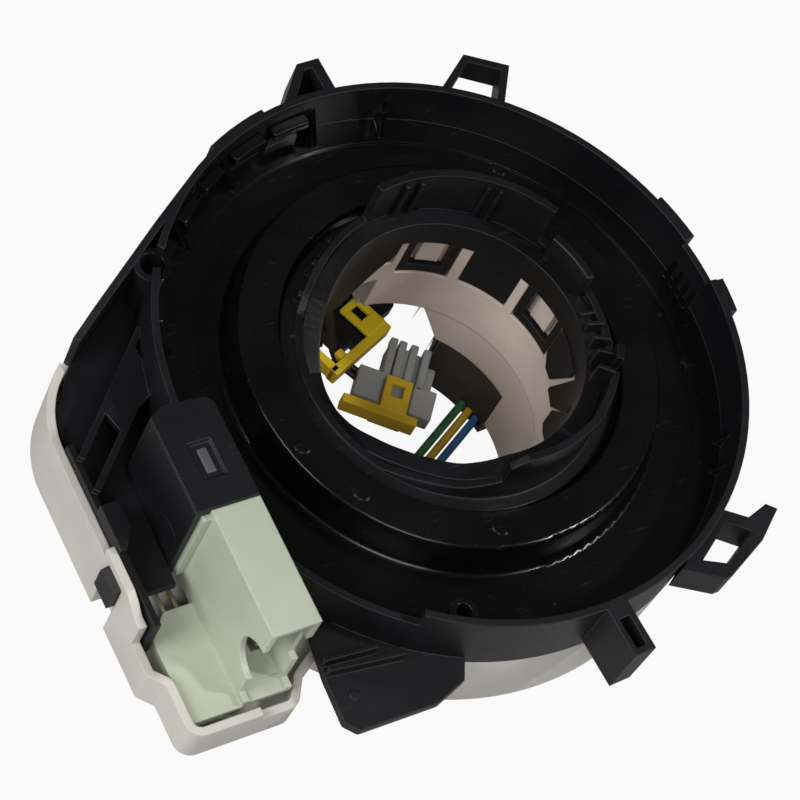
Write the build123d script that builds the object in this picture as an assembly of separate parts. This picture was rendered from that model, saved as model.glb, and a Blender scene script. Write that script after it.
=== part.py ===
"""Steering clock spring: stator housings, rotor, ribbon cable, sockets and igniter leads.

Millimetres. The origin lies on the bore axis, half way along the plain stretch of the
rotor's bore. +Z points to the rear, the steering column's side. The connector bay is on
the -X side and its sockets open towards -Y. Angles are in degrees from +X towards +Y.
"""
from build123d import *
import os
from math import cos, pi, radians, sin, tan

# Heights of the main planes
SHIELD_TOP = 32.0
STEP_TOP = 28.0
SIDE_TOP = 26.0
COLLAR_TOP = 22.6
RIM_TOP = 21.0
LOW_RIM_TOP = 17.5
PLATEAU_TOP = 18.0
FLOOR_TOP = 11.0
SPLIT_Z = 7.0
DISC_TOP = -5.5
CASE_BOTTOM = -9.0
REST_Z = -28.0

# Stator ring
RIM_R = 54.0
RIM_WALL = 1.3
FLOOR_WALL = 1.6
PLATEAU_WIDTH = 7.2
PLATEAU_SLOPE = 1.2
FLOOR_STEP_R = 47.5
FLOOR_STEP = 0.5
CASE_WALL = 1.6
LIP_WIDTH = 2.2
LIP_WALL = 1.2
SPIGOT_WALL = 1.1
SPIGOT_FIT = 0.1

# Rotor
BORE_R = 23.5
TUBE_WALL = 2.8
DISC_WALL = 2.0
COLLAR_WALL = 2.0
COLLAR_RELIEF = 0.4
RECESS_SKIN = 0.9

# Sleeve
SLEEVE_SLIP = 0.1
SLEEVE_WALL = 1.4
FLANGE_WIDTH = 2.8
FLANGE_WALL = 1.3
FLANGE_Z = 14.6
RUN_GAP = 0.5
LOOP_WALL = 1.4
LOOP_CLEAR = 0.3
BRIDGE_WALL = 1.3

# Cassette contents
SHEET_WALL = 0.4
SEAT_GAP = 0.3
RIBBON_WALL = 0.5
RIBBON_EDGE = 1.4
RIBBON_HALF_TURNS = 11
RIBBON_TAIL = 9.0

# Connector bay
BAY_OUT = 17.6
BAY_WALL = 1.5
BAY_TOP = 10.5
BAY_FLOOR_TOP = -1.6
BAY_FLOOR_WALL = 1.6
BAY_CORNER_R = 20.0
BAY_LONG_END = -34.0
TRAY_INSET = 2.4
TRAY_FRONT = -46.6
TRAY_RIGHT = -46.0
TRAY_TOP = 5.0
RAIL_TOP = 12.0
RAIL_WALL = 1.2
SIDE_TANGENT_DEG = 125.0
SIDE_LOOP_ANGLE = -58.0
POST_ANGLE = -87.0
BRIDGE_TOP = 18.5
BRIDGE_START = -14.0
BRIDGE_END = -24.0

# Receptacle box and the connector in it
BOX_INSET = 4.6
BOX_WIDTH = 11.6
BOX_TOP = 26.0
BOX_BOTTOM = 4.0
BOX_BACK = 1.5
BOX_FRONT = -18.3
BOX_WALL = 1.2
PLUG_DEPTH = 12.3
PLUG_FIT = 0.15
SHROUD_FRONT = -41.6
SHROUD_WIDTH = 8.9
SHROUD_SIDE_FOOT = 7.0
SHROUD_FOOT = 3.6
SHROUD_WALL = 1.1
LOWER_WIDTH = 9.1
LOWER_BACK = -24.0
LOWER_FRONT = -43.6
MOUTH_DEPTH = 20.0
PIN_THICK = 0.64
PIN_WIDE = 1.5
PIN_ROWS = 5
BLOCK_TOP = 3.0

# Hanging loops and tab of the sleeve: middle angles, half widths, lowest heights
LOOP_ANGLES = (67.5, 10.0)
LOOP_HALF_DEG = 11.5
LOOP_BOTTOM = 5.5
LOOP_LEG_DEG = 3.6
LOOP_SILL = 2.1
TAB_ANGLE = 38.5
TAB_HALF_DEG = 11.0
TAB_BOTTOM = 5.7
SKIRT_START = 84.0
SKIRT_END = 152.0
SKIRT_BOTTOM = 9.0
LUG_HALF_DEG = 5.0
LUG_BOTTOM = 9.0
LUG_TOP = 16.0
SEAT_DEG = 0.8

# Lead pocket in the rotor
POCKET_START = 86.0
POCKET_END = 113.0
POCKET_DEPTH = 4.6
POCKET_WALL = 1.3
POCKET_TOP = 3.5
OUTLET_START = 57.0
OUTLET_EDGE_R = 25.2
TERMINAL_START = 98.0
TERMINAL_BOTTOM = -4.5
TERMINAL_TOP = 3.0

# Socket for the steering wheel's switches
PANEL_START = 4.5
PANEL_END = 42.0
PANEL_TOP = -14.2
PANEL_R = 26.6
SOCKET_START = 6.0
SOCKET_END = 43.0
SOCKET_BOTTOM = -26.0
SOCKET_R = 36.0
SOCKET_WALL = 1.5
SOCKET_ROOF = 3.5
SWITCH_PINS = 6
WINDOW_TOP = -14.0
WINDOW_END = 45.0
LOW_EDGE_Z = -24.5
LOW_EDGE_START = -60.0

# Igniter connectors and leads
IGNITER_TOP = -17.0
IGNITER_WING_Z = -24.0
LEAD_R = 0.8
IGNITER_LEAD_R = 0.6
LEAD_SPACING = 1.9
LEAD_HEIGHT = -26.0
LEAD_SEAT = 0.6
GREY_LENGTH = 12.4
BLACK_LENGTH = 8.4
GREY_AT = (5.9, 9.8, 50.0)
BLACK_AT = (6.4, 27.3, 113.0)
LEAD_ROW_R = 27.1

CUT = 1.0

TUBE_R = BORE_R + TUBE_WALL
POCKET_R = TUBE_R + POCKET_DEPTH
SLEEVE_IN = TUBE_R + SLEEVE_SLIP
SLEEVE_R = SLEEVE_IN + SLEEVE_WALL
FLANGE_R = SLEEVE_R + FLANGE_WIDTH
PLATEAU_IN = FLANGE_R + RUN_GAP
PLATEAU_R = PLATEAU_IN + PLATEAU_WIDTH
FLOOR_R = PLATEAU_R + PLATEAU_SLOPE
RIM_IN = RIM_R - RIM_WALL
CASE_IN = RIM_R - CASE_WALL
LIP_IN = CASE_IN - LIP_WIDTH
SPIGOT_R = CASE_IN - SPIGOT_FIT
SPIGOT_IN = SPIGOT_R - SPIGOT_WALL
DISC_R = CASE_IN - RUN_GAP
DISC_BOTTOM = DISC_TOP - DISC_WALL
SPIGOT_END = DISC_TOP + SEAT_GAP
FLOOR_UNDER = FLOOR_TOP - FLOOR_WALL
COLLAR_IN = BORE_R + COLLAR_RELIEF
COLLAR_R = COLLAR_IN + COLLAR_WALL
TUBE_TOP = RIM_TOP - RUN_GAP
LOOP_IN = BORE_R + LOOP_CLEAR
LOOP_OUT = LOOP_IN + LOOP_WALL
RECESS_R = TUBE_R - RECESS_SKIN
BRIDGE_Z = TUBE_TOP
SHEET_IN = POCKET_R + POCKET_WALL + SEAT_GAP
SHEET_R = SPIGOT_IN - SEAT_GAP
RIBBON_IN = SHEET_IN + RIBBON_WALL
RIBBON_BOTTOM = DISC_TOP + SHEET_WALL + SEAT_GAP
RIBBON_TOP = FLOOR_UNDER - SHEET_WALL - SEAT_GAP
RIBBON_END_R = SHEET_R - RIBBON_EDGE
RIBBON_STEP = (RIBBON_END_R - RIBBON_IN) / (RIBBON_HALF_TURNS - 1)
BAY_X = -(RIM_R + BAY_OUT)
BAY_IN_X = BAY_X + BAY_WALL
BAY_BOTTOM = BAY_FLOOR_TOP - BAY_FLOOR_WALL
TRAY_X = BAY_X + TRAY_INSET
BOX_RIGHT = -(RIM_R - BOX_INSET)
BOX_LEFT = BOX_RIGHT - BOX_WIDTH
SHROUD_LEFT = BOX_RIGHT - SHROUD_WIDTH
LOWER_LEFT = SHROUD_LEFT - LOWER_WIDTH
PLUG_BACK = BOX_FRONT + PLUG_DEPTH


def on_circle(radius, angle, height=0.0):
    """Point at a radius and an angle in degrees."""
    return (radius * cos(radians(angle)), radius * sin(radians(angle)), height)


def on_rim(points, angle):
    """Plan points given as (distance outside the rim, distance along it) at an angle."""
    moved = []
    for out, along in points:
        x, y, _ = on_circle(RIM_R + out, angle)
        across, up, _ = on_circle(along, angle + 90)
        moved.append((x + across, y + up))
    return moved


def outline(points, rounds=None):
    """Closed flat face on a polygon, with an arc at each corner named in rounds."""
    corners = [Vector(*point) for point in points]
    count = len(corners)
    edges = []
    ends = []
    for index in range(count):
        here = corners[index]
        back = (corners[index - 1] - here).normalized()
        ahead = (corners[(index + 1) % count] - here).normalized()
        radius = rounds.get(index, 0) if rounds else 0
        half = radians(back.get_angle(ahead) / 2)
        reach = radius / tan(half) if radius else 0
        first = here + back * reach
        last = here + ahead * reach
        if radius:
            middle = here + (back + ahead).normalized() * (radius / sin(half) - radius)
            edges.append(ThreePointArc(first, middle, last))
        ends.append((first, last))
    for index in range(count):
        edges.append(Line(ends[index - 1][1], ends[index][0]))
    return make_face(edges)


def ring(r_out, r_in, z_low, z_high):
    """Plain ring about the bore axis."""
    return Pos(0, 0, z_low) * extrude(Circle(r_out) - Circle(r_in), z_high - z_low)


def disc(radius, z_low, z_high, x=0.0, y=0.0):
    """Round disc or pin along Z."""
    return Pos(x, y, z_low) * extrude(Circle(radius), z_high - z_low)


def sector(r_out, r_in, z_low, z_high, start, end):
    """Part of a ring between two angles."""
    outer = CenterArc((0, 0), r_out, start, end - start)
    inner = CenterArc((0, 0), r_in, start, end - start)
    edges = [outer, Line(outer @ 1, inner @ 1), inner, Line(inner @ 0, outer @ 0)]
    return Pos(0, 0, z_low) * extrude(make_face(edges), z_high - z_low, dir=(0, 0, 1))


def prism(points, z_low, z_high, rounds=None):
    """Upright prism on a closed outline."""
    face = outline(points, rounds)
    return Pos(0, 0, z_low) * extrude(face, z_high - z_low, dir=(0, 0, 1))


def block(x_low, x_high, y_low, y_high, z_low, z_high):
    """Box between six planes."""
    size = (x_high - x_low, y_high - y_low, z_high - z_low)
    middle = ((x_low + x_high) / 2, (y_low + y_high) / 2, (z_low + z_high) / 2)
    return Pos(*middle) * Box(*size)


def turned(points, rounds=None):
    """Solid of revolution about the bore axis from (radius, height) points."""
    return revolve(Plane.XZ * outline(points, rounds), Axis.Z)


def turn_to(shape, angle):
    """Turns a shape about the bore axis."""
    return Rot(0, 0, angle) * shape


def radial_plate(points, angle, width, rounds=None):
    """Plate on a radial plane: (radius, height) outline, given width, at an angle."""
    return turn_to(extrude(Plane.XZ * outline(points, rounds), width / 2, both=True), angle)


def wall_plate(start, end, profile, thickness, rounds=None):
    """Upright plate on a plan line: (distance, height) profile, thickness to the left."""
    along = Vector(end[0] - start[0], end[1] - start[1], 0).normalized()
    right = along.cross(Vector(0, 0, 1))
    plane = Plane(origin=(start[0], start[1], 0), x_dir=along, z_dir=right)
    return extrude(plane * outline(profile, rounds), thickness, dir=right * -1)


def side_y(x):
    """Y of the tangent side wall's outer face at a given X."""
    start = on_circle(RIM_R, SIDE_TANGENT_DEG)
    return start[1] + (x - start[0]) * tan(radians(SIDE_TANGENT_DEG - 90))


# Rear housing
def rear_ring():
    """Rim, dished floor, raised plateau and the spigot inside the front housing."""
    inner_floor = FLOOR_R - FLOOR_WALL
    points = [
        (RIM_IN, RIM_TOP),
        (RIM_R, RIM_TOP),
        (RIM_R, SPLIT_Z),
        (SPIGOT_R, SPLIT_Z),
        (SPIGOT_R, SPIGOT_END),
        (SPIGOT_IN, SPIGOT_END),
        (SPIGOT_IN, FLOOR_UNDER),
        (inner_floor, FLOOR_UNDER),
        (PLATEAU_R - FLOOR_WALL, PLATEAU_TOP - FLOOR_WALL),
        (PLATEAU_IN, PLATEAU_TOP - FLOOR_WALL),
        (PLATEAU_IN, PLATEAU_TOP),
        (PLATEAU_R, PLATEAU_TOP),
        (FLOOR_R, FLOOR_TOP),
        (FLOOR_STEP_R, FLOOR_TOP),
        (FLOOR_STEP_R, FLOOR_TOP + FLOOR_STEP),
        (RIM_IN, FLOOR_TOP + FLOOR_STEP),
    ]
    return turned(points, {10: 0.5, 11: 0.8, 12: 1.2})


def rim_details():
    """Bumps, ribs, ledges and fins of the rim."""
    shapes = [
        sector(RIM_R + 1.0, RIM_IN, 15, RIM_TOP, 7, 17),
        sector(RIM_R + 1.4, RIM_IN, 15, RIM_TOP, -10, -3),
        sector(RIM_R + 0.7, RIM_IN, 12, RIM_TOP, 104, 118),
    ]
    for angle in (76, 92, 115, 134, 160):
        rib = [(RIM_IN + 0.3, RIM_TOP - 3), (RIM_IN + 0.3, FLOOR_TOP), (FLOOR_STEP_R + 0.5, FLOOR_TOP)]
        shapes.append(radial_plate(rib, angle, 1.0))
    for start, end in ((94, 102), (104, 113), (117, 132)):
        shapes.append(sector(RIM_IN + 0.2, RIM_IN - 1.0, FLOOR_TOP, FLOOR_TOP + 5, start, end))
    for angle in (-2, 0.5, 3, 5.5, -34, -41, 222, 244):
        fin = [(RIM_IN + 0.3, RIM_TOP - 4), (RIM_IN + 0.3, FLOOR_TOP), (RIM_IN - 1.6, FLOOR_TOP)]
        shapes.append(radial_plate(fin, angle, 0.9))
    return shapes


def pin_marks():
    """Low round marks on the plateau and the floor."""
    shapes = []
    for x, y in ((-34.4, -8.9), (-28.5, -20.0), (-8.1, -33.3)):
        shapes.append(disc(1.6, PLATEAU_TOP - 0.5, PLATEAU_TOP + 0.25, x, y))
    shapes.append(disc(1.6, FLOOR_TOP - 0.5, FLOOR_TOP + 0.25, 31.5, 35.2))
    for x, y in ((-1.4, -47.0), (45.9, -12.0), (46.6, -1.8)):
        shapes.append(disc(0.6, FLOOR_TOP - 0.5, FLOOR_TOP + 0.4, x, y))
    return shapes


def mounting_clips():
    """Gusset clip, two snap loops, hollow post and ring post on the rim."""
    top = RIM_TOP - 1.0
    low = top - 8.0
    gusset_out = on_rim([(-0.6, 5.8), (7.0, -1.3), (7.0, -5.9), (-1.2, -5.7)], 93)
    gusset_in = on_rim([(0.8, 2.0), (5.4, -1.9), (5.5, -3.7), (0.5, -3.7)], 93)
    gusset = prism(gusset_out, low, top) - prism(gusset_in, top - 5, top + CUT)
    loop_out = on_rim([(-0.7, 7.9), (8.9, 4.3), (9.3, -4.6), (-0.4, -4.4)], 57)
    loop_in = on_rim([(0.1, 6.1), (7.5, 3.4), (7.7, -3.2), (0.3, -3.0)], 57)
    loop = prism(loop_out, low + 3, top) - prism(loop_in, low, top + CUT)
    side_out = on_rim([(-0.8, 3.1), (4.2, 5.1), (5.5, 9.6), (7.7, 10.2), (8.3, 2.7), (7.0, -7.3),
                       (6.3, -8.4), (-0.8, -12.1)], SIDE_LOOP_ANGLE)
    side_in = on_rim([(1.4, 1.5), (6.0, 3.1), (5.4, -5.4), (1.4, -7.9)], SIDE_LOOP_ANGLE)
    side = prism(side_out, low + 2, top) - prism(side_in, low, top + CUT)
    post_out = on_rim([(9.1, -2.1), (9.1, 2.2), (-0.7, 2.2), (-0.7, -2.1)], POST_ANGLE)
    post_in = on_rim([(7.9, -1.1), (7.9, 1.0), (2.3, 1.0), (2.3, -1.1)], POST_ANGLE)
    post = prism(post_out, SPLIT_Z + 2, RIM_TOP) - prism(post_in, SPLIT_Z + 5, RIM_TOP + CUT)
    return [gusset, loop, side, post]


def posts():
    """Ring post near the front and hollow boss beside the connector bay."""
    ring_post = disc(2.4, FLOOR_TOP - 0.5, RIM_TOP - 1, -22.8, -45.8)
    boss = disc(3.4, SPLIT_Z, LOW_RIM_TOP + 1, -44.6, 30.3)
    boss -= disc(SPIGOT_R, SPLIT_Z - CUT, FLOOR_UNDER)
    return [ring_post, boss]


def post_holes():
    """Bores of the ring post and the boss."""
    ring_hole = disc(1.36, FLOOR_TOP + 2, RIM_TOP, -22.8, -45.8)
    boss_hole = disc(2.2, SPLIT_Z + 3, RIM_TOP, -44.6, 30.3)
    return [ring_hole, boss_hole]


def lower_bracket():
    """Flat bracket beside the connector with its double ridge and pocket."""
    points = [(-43.6, -34.0), (-45.2, -45.2), (-45.6, -53.4), (-43.7, -55.6), (-28.6, -55.7),
              (-22.6, -53.6), (-20.6, -50.0)]
    plate = prism(points, SPLIT_Z, SPLIT_Z + 1.8, {2: 1.0, 3: 1.0, 4: 1.5})
    outer = wall_plate((-45.0, -45.2), (-31.0, -46.8), [(0, 8), (14, 8), (14, 11), (0, 11)], 0.8)
    inner = wall_plate((-45.0, -43.4), (-34.0, -44.2), [(0, 8), (10, 8), (10, 11), (0, 11)], 0.8)
    dimple = disc(0.8, SPLIT_Z + 1, SPLIT_Z + 2.1, -41.9, -49.6)
    plate -= disc(RIM_R - 0.4, CASE_BOTTOM, RIM_TOP)
    return [plate, outer, inner, dimple]


def bay_side_wall():
    """Upper wall along the tangent from the rim to the bay's corner."""
    start = on_circle(RIM_R, SIDE_TANGENT_DEG)
    end = (-64.0, side_y(-64.0))
    points = [(-2, SPLIT_Z), (38, SPLIT_Z), (38, 15.5), (32, LOW_RIM_TOP), (13, RIM_TOP), (-2, RIM_TOP)]
    return wall_plate(start, end, points, RIM_WALL)


def bay_frame():
    """Rails inside the bay's long wall, the catch and the struts that tie them to the ring."""
    rail = [(0, 2), (15.6, 2), (15.6, RAIL_TOP), (0, RAIL_TOP)]
    front_rail = [(0, 2), (14, 2), (14, RAIL_TOP), (0, RAIL_TOP)]
    shapes = [
        wall_plate((BAY_X + 1.6, 5.5), (BAY_X + 1.6, -10.0), rail, RAIL_WALL),
        wall_plate((BAY_X + 2.0, -15.0), (BAY_X + 2.0, -29.0), front_rail, RAIL_WALL),
        prism([(BAY_X + 4.8, -7.1), (BAY_X + 5.0, -11.9), (BAY_X + 2.6, -15.6), (BAY_X + 1.6, -15.6),
               (BAY_X + 1.6, -7.1)], 2, 14),
        block(BAY_X - 1.4, BAY_X + 3.0, -20.9, -16.1, 5, 12),
    ]
    for start, end in (((-49.6, 22.6), (-69.4, 2.6)), ((-52.6, 12.9), (-69.4, -3.6))):
        length = ((start[0] - end[0]) ** 2 + (start[1] - end[1]) ** 2) ** 0.5
        strut = [(0, SPLIT_Z), (5, SPLIT_Z), (7, 5), (length, 5), (length, 13), (0, 13)]
        shapes.append(wall_plate(start, end, strut, RAIL_WALL))
    shapes.append(prism([(-51.6, 20.4), (-51.2, 10.8), (-60.7, 5.1), (-62.0, 9.8)], 11.8, 13))
    return shapes


def receptacle_box():
    """Box over the bay that takes the rear end of the connector."""
    points = [(BOX_LEFT, -0.2), (BOX_LEFT + 3.2, BOX_BACK), (BOX_RIGHT - 1.0, BOX_BACK - 0.7),
              (BOX_RIGHT, -0.4), (BOX_RIGHT, BOX_FRONT), (BOX_LEFT, BOX_FRONT)]
    return prism(points, BOX_BOTTOM, BOX_TOP)


def box_hollow():
    """Space in the receptacle box, kept outside the ring below the floor's top."""
    hollow = block(BOX_LEFT + BOX_WALL, BOX_RIGHT - BOX_WALL, BOX_FRONT - CUT, BOX_BACK - 2 * BOX_WALL,
                   BOX_BOTTOM - CUT, BOX_TOP - BOX_WALL)
    keep = disc(RIM_R, CASE_BOTTOM, FLOOR_TOP + 1.0)
    slot = block(BOX_RIGHT - 6.6, BOX_RIGHT - 3.6, -12.8, -5.8, BOX_TOP - BOX_WALL - CUT, BOX_TOP + CUT)
    scoop = Pos(BOX_LEFT, BOX_FRONT + 4, 12.0) * Rot(0, 90, 0) * Cylinder(3.4, 4.0)
    return hollow - keep + slot + scoop


def make_rear_housing():
    """Black moulding: ring, clips, bay frame and receptacle box."""
    body = rear_ring()
    body += rim_details() + pin_marks() + mounting_clips() + posts()
    body += lower_bracket()
    body += [bay_side_wall()] + bay_frame()
    body += receptacle_box() - disc(SPIGOT_IN, CASE_BOTTOM, FLOOR_UNDER) - disc(RIM_R, CASE_BOTTOM, SPLIT_Z)
    body -= box_hollow()
    for hole in post_holes():
        body -= hole
    body -= sector(RIM_R + 3, RIM_IN - 0.2, LOW_RIM_TOP, RIM_TOP + CUT, 206, 236)
    body -= sector(RIM_R + 3, RIM_IN - 0.5, RIM_TOP - 1.6, RIM_TOP + CUT, -2.8, 6.8)
    body -= block(SHROUD_LEFT, BOX_RIGHT + PLUG_FIT, -26.0, BOX_FRONT, FLOOR_TOP + 1.0, RIM_TOP + CUT)
    body -= stator_block_shape()
    return body


# Front housing
def bay_outline():
    """Plan outline of the connector bay."""
    start = on_circle(RIM_R, SIDE_TANGENT_DEG)
    return [(start[0] + 6, start[1] - 12), (start[0], start[1]), (BAY_X, side_y(BAY_X)),
            (BAY_X, BAY_LONG_END), (TRAY_X, BAY_LONG_END - 2.5), (TRAY_X, TRAY_FRONT),
            (TRAY_RIGHT - 3, TRAY_FRONT), (TRAY_RIGHT, TRAY_FRONT + 4.6), (-36.0, -36.0)]


def front_ring():
    """Outer wall of the cassette with its lip under the rotor's disc."""
    points = [(RIM_R, SPLIT_Z), (CASE_IN, SPLIT_Z), (CASE_IN, CASE_BOTTOM + LIP_WALL),
              (LIP_IN, CASE_BOTTOM + LIP_WALL), (LIP_IN, CASE_BOTTOM), (RIM_R, CASE_BOTTOM)]
    return turned(points, {5: 0.6})


def bay_shell():
    """Floor and walls of the connector bay."""
    points = bay_outline()
    rounds = {2: BAY_CORNER_R, 3: 1.0, 4: 1.0, 5: 3.0, 6: 3.0, 7: 3.0}
    solid = prism(points, BAY_BOTTOM, BAY_TOP, rounds)
    inner = offset(outline(points, rounds), -BAY_WALL)
    hollow = Pos(0, 0, BAY_FLOOR_TOP) * extrude(inner, 20, dir=(0, 0, 1))
    shell = solid - hollow
    tray_cut = block(-80, -30, TRAY_FRONT - CUT, BRIDGE_END - 4, TRAY_TOP, BAY_TOP + CUT)
    side_cut = prism([(-64.0, side_y(-64.0) + 6), (-64.0, 0), (-20, 0), (-20, 60)], SPLIT_Z, BAY_TOP + CUT)
    low_cut = prism([(-56, -50), (-56, BAY_LONG_END), (-20, BAY_LONG_END), (-20, -50)], 3.2, TRAY_TOP + CUT)
    return shell - tray_cut - side_cut - low_cut - disc(CASE_IN + 0.4, BAY_BOTTOM - CUT, BAY_TOP + CUT)


def snap_bridge():
    """Raised bridge in the bay's long wall over the catch."""
    outer = [(0, BAY_BOTTOM), (10, BAY_BOTTOM), (14, TRAY_TOP), (10, BRIDGE_TOP - 2), (8, BRIDGE_TOP),
             (0, BRIDGE_TOP)]
    return wall_plate((BAY_X, BRIDGE_START), (BAY_X, BRIDGE_END), outer, BAY_WALL)


def make_front_housing():
    """Light moulding: cassette wall, lip and connector bay."""
    body = front_ring() + bay_shell() + snap_bridge()
    body -= block(BAY_X - CUT, BAY_IN_X + CUT, -21.0, -16.0, BAY_BOTTOM - CUT, 13.0)
    body -= stator_block_shape()
    body -= ring(RIM_R + 0.3, CASE_IN + 0.2, SPLIT_Z, BAY_TOP + CUT)
    return body


# Connector, its pins and the stator's terminal block
def upper_pin_rows():
    """Heights of the blades in the upper socket."""
    step = 2.6
    return [BOX_TOP - 5.5 - step * index for index in range(PIN_ROWS)]


def make_connector_pins_upper():
    """Angled blades from the terminal block into the upper socket."""
    x_low = BOX_RIGHT - 5.5 - PIN_WIDE / 2
    pins = []
    for index, height in enumerate(upper_pin_rows()):
        leg_y = -0.9 - 1.2 * index
        run = block(x_low, x_low + PIN_WIDE, SHROUD_FRONT + 4, leg_y, height, height + PIN_THICK)
        leg = block(x_low, x_low + PIN_WIDE, leg_y - PIN_THICK, leg_y, BLOCK_TOP, height + PIN_THICK)
        pins.append(run + leg)
    return Compound(pins)


def make_connector_pins_lower():
    """Straight pins from the terminal block into the lower socket."""
    pins = []
    for index in range(3):
        x_low = LOWER_LEFT + 2.2 + index * 2.4
        pins.append(block(x_low, x_low + PIN_THICK, LOWER_FRONT + 4, -16.0, 0.6, 0.6 + PIN_THICK))
    return Compound(pins)


def socket_bar(x_low, x_high, y_front, y_back, z_low, z_high, mouth):
    """Bar open at its front end."""
    bar = block(x_low, x_high, y_front, y_back, z_low, z_high)
    hollow = block(x_low + SHROUD_WALL, x_high - SHROUD_WALL, y_front - CUT, y_front + mouth,
                   z_low + SHROUD_WALL, z_high - SHROUD_WALL)
    return bar - hollow


def make_main_connector():
    """Pale moulding with a tall and a low socket, plugged into the box."""
    upper = socket_bar(SHROUD_LEFT, BOX_RIGHT, SHROUD_FRONT, BOX_FRONT, SHROUD_FOOT - SHROUD_WALL,
                       BOX_TOP, MOUTH_DEPTH)
    lower = socket_bar(LOWER_LEFT, SHROUD_LEFT + SHROUD_WALL, LOWER_FRONT, LOWER_BACK, BAY_FLOOR_TOP,
                       SHROUD_FOOT, 15)
    lower -= prism([(LOWER_LEFT - CUT, LOWER_BACK - 5.4), (LOWER_LEFT - CUT, LOWER_BACK + CUT),
                    (LOWER_LEFT + 4.6, LOWER_BACK + CUT)], BAY_FLOOR_TOP - CUT, SHROUD_FOOT + CUT)
    foot = block(SHROUD_LEFT, BOX_RIGHT, LOWER_FRONT, LOWER_BACK, SHROUD_FOOT, SHROUD_SIDE_FOOT - 1.8)
    foot -= block(SHROUD_LEFT + SHROUD_WALL, BOX_RIGHT - SHROUD_WALL, LOWER_FRONT - CUT, LOWER_FRONT + 3,
                  SHROUD_FOOT + 1.1, BOX_TOP)
    inset = BOX_WALL + PLUG_FIT
    plug = block(BOX_LEFT + inset, BOX_RIGHT - inset, BOX_FRONT - CUT, PLUG_BACK, BOX_BOTTOM + inset,
                 BOX_TOP - inset)
    tongue = block(BOX_RIGHT - 6.4, BOX_RIGHT - 3.8, -12.4, -6.2, BOX_TOP - 2 * BOX_WALL, BOX_TOP - 0.6)
    body = upper + lower + foot + plug + tongue
    body -= Pos(SHROUD_LEFT, SHROUD_FRONT, 15.0) * Rot(0, 90, 0) * Cylinder(5.0, 3 * SHROUD_WALL)
    body -= block(BOX_RIGHT - 2 * SHROUD_WALL, BOX_RIGHT + CUT, SHROUD_FRONT - CUT, SHROUD_FRONT + 1.6,
                  12, 20)
    body -= disc(RIM_R + PLUG_FIT, CASE_BOTTOM, FLOOR_TOP + 1.0 + PLUG_FIT)
    body -= make_connector_pins_upper()
    body -= make_connector_pins_lower()
    return body


def stator_block_shape():
    """Outline body of the stator's terminal block."""
    return block(TRAY_X + 2.2, -(RIBBON_END_R - 0.9), -16.0, -1.2, BAY_FLOOR_TOP, BLOCK_TOP)


def make_stator_terminal_block():
    """Block on the bay floor that joins the ribbon's outer end to the pins."""
    return stator_block_shape() - make_ribbon_cable()


# Cassette contents
def make_ribbon_cable():
    """Spiral ribbon of half circles with alternate centres and a straight tail."""
    half = RIBBON_WALL / 2
    edges = []
    for side in (half, -half):
        for index in range(RIBBON_HALF_TURNS):
            centre = (0, 0) if index % 2 == 0 else (RIBBON_STEP, 0)
            start = 0 if index % 2 == 0 else 180
            radius = RIBBON_IN + index * RIBBON_STEP + side
            edges.append(CenterArc(centre, radius, start, 180))
    x_out = -RIBBON_END_R - half
    x_in = -RIBBON_END_R + half
    edges.append(Line((x_out, 0), (x_out, -RIBBON_TAIL)))
    edges.append(Line((x_in, 0), (x_in, -RIBBON_TAIL)))
    edges.append(Line((x_out, -RIBBON_TAIL), (x_in, -RIBBON_TAIL)))
    edges.append(Line((RIBBON_IN - half, 0), (RIBBON_IN + half, 0)))
    face = make_face(edges)
    height = RIBBON_TOP - RIBBON_BOTTOM
    return Pos(0, 0, RIBBON_BOTTOM) * extrude(face, height, dir=(0, 0, 1))


def make_slip_sheet_rear():
    """Thin slip ring under the rear housing's floor."""
    return ring(SHEET_R, FLOOR_R, FLOOR_UNDER - SHEET_WALL, FLOOR_UNDER)


def make_slip_sheet_front():
    """Thin slip ring on the rotor's disc."""
    return ring(SHEET_R, SHEET_IN, DISC_TOP, DISC_TOP + SHEET_WALL)


# Rotor
def seat_cut(start, end, bottom):
    """Recess in the tube's bore for one hanging part of the sleeve."""
    return sector(RECESS_R, BORE_R - 2, bottom - 0.3, TUBE_TOP + CUT, start - SEAT_DEG, end + SEAT_DEG)


def tube_recesses():
    """All recesses of the tube's bore."""
    cuts = []
    for angle in LOOP_ANGLES:
        cuts.append(seat_cut(angle - LOOP_HALF_DEG, angle + LOOP_HALF_DEG, LOOP_BOTTOM))
    cuts.append(seat_cut(TAB_ANGLE - TAB_HALF_DEG, TAB_ANGLE + TAB_HALF_DEG, TAB_BOTTOM))
    cuts.append(seat_cut(SKIRT_START, SKIRT_END, SKIRT_BOTTOM))
    return cuts


def lead_pocket():
    """Walls of the pocket on the tube that takes the leads' terminal block."""
    return sector(POCKET_R + POCKET_WALL, BORE_R + 1, DISC_TOP - 0.5, POCKET_TOP + POCKET_WALL,
                  POCKET_START - 1.5, POCKET_END + 1.5)


def collar_cuts():
    """Outlet for the leads, window for the switch socket and the low front edge."""
    low = REST_Z - CUT
    lean = 2.6
    slant = outline([(-lean - 0.2, low), (-lean, WINDOW_TOP), (lean, DISC_TOP), (lean + 0.3, low)])
    slant_plane = Plane(origin=(18, 0, 0), x_dir=(0, 1, 0), z_dir=(1, 0, 0))
    return [
        sector(OUTLET_EDGE_R, 15, low, DISC_TOP, OUTLET_START, POCKET_END),
        sector(COLLAR_R + CUT, 15, low, DISC_BOTTOM, OUTLET_START, POCKET_END),
        sector(COLLAR_R + CUT, 15, low, WINDOW_TOP, PANEL_START - 0.5, WINDOW_END),
        turn_to(extrude(slant_plane * slant, 9), (WINDOW_END + OUTLET_START) / 2),
        sector(COLLAR_R + CUT, 15, low, LOW_EDGE_Z, LOW_EDGE_START, PANEL_START),
    ]


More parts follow.
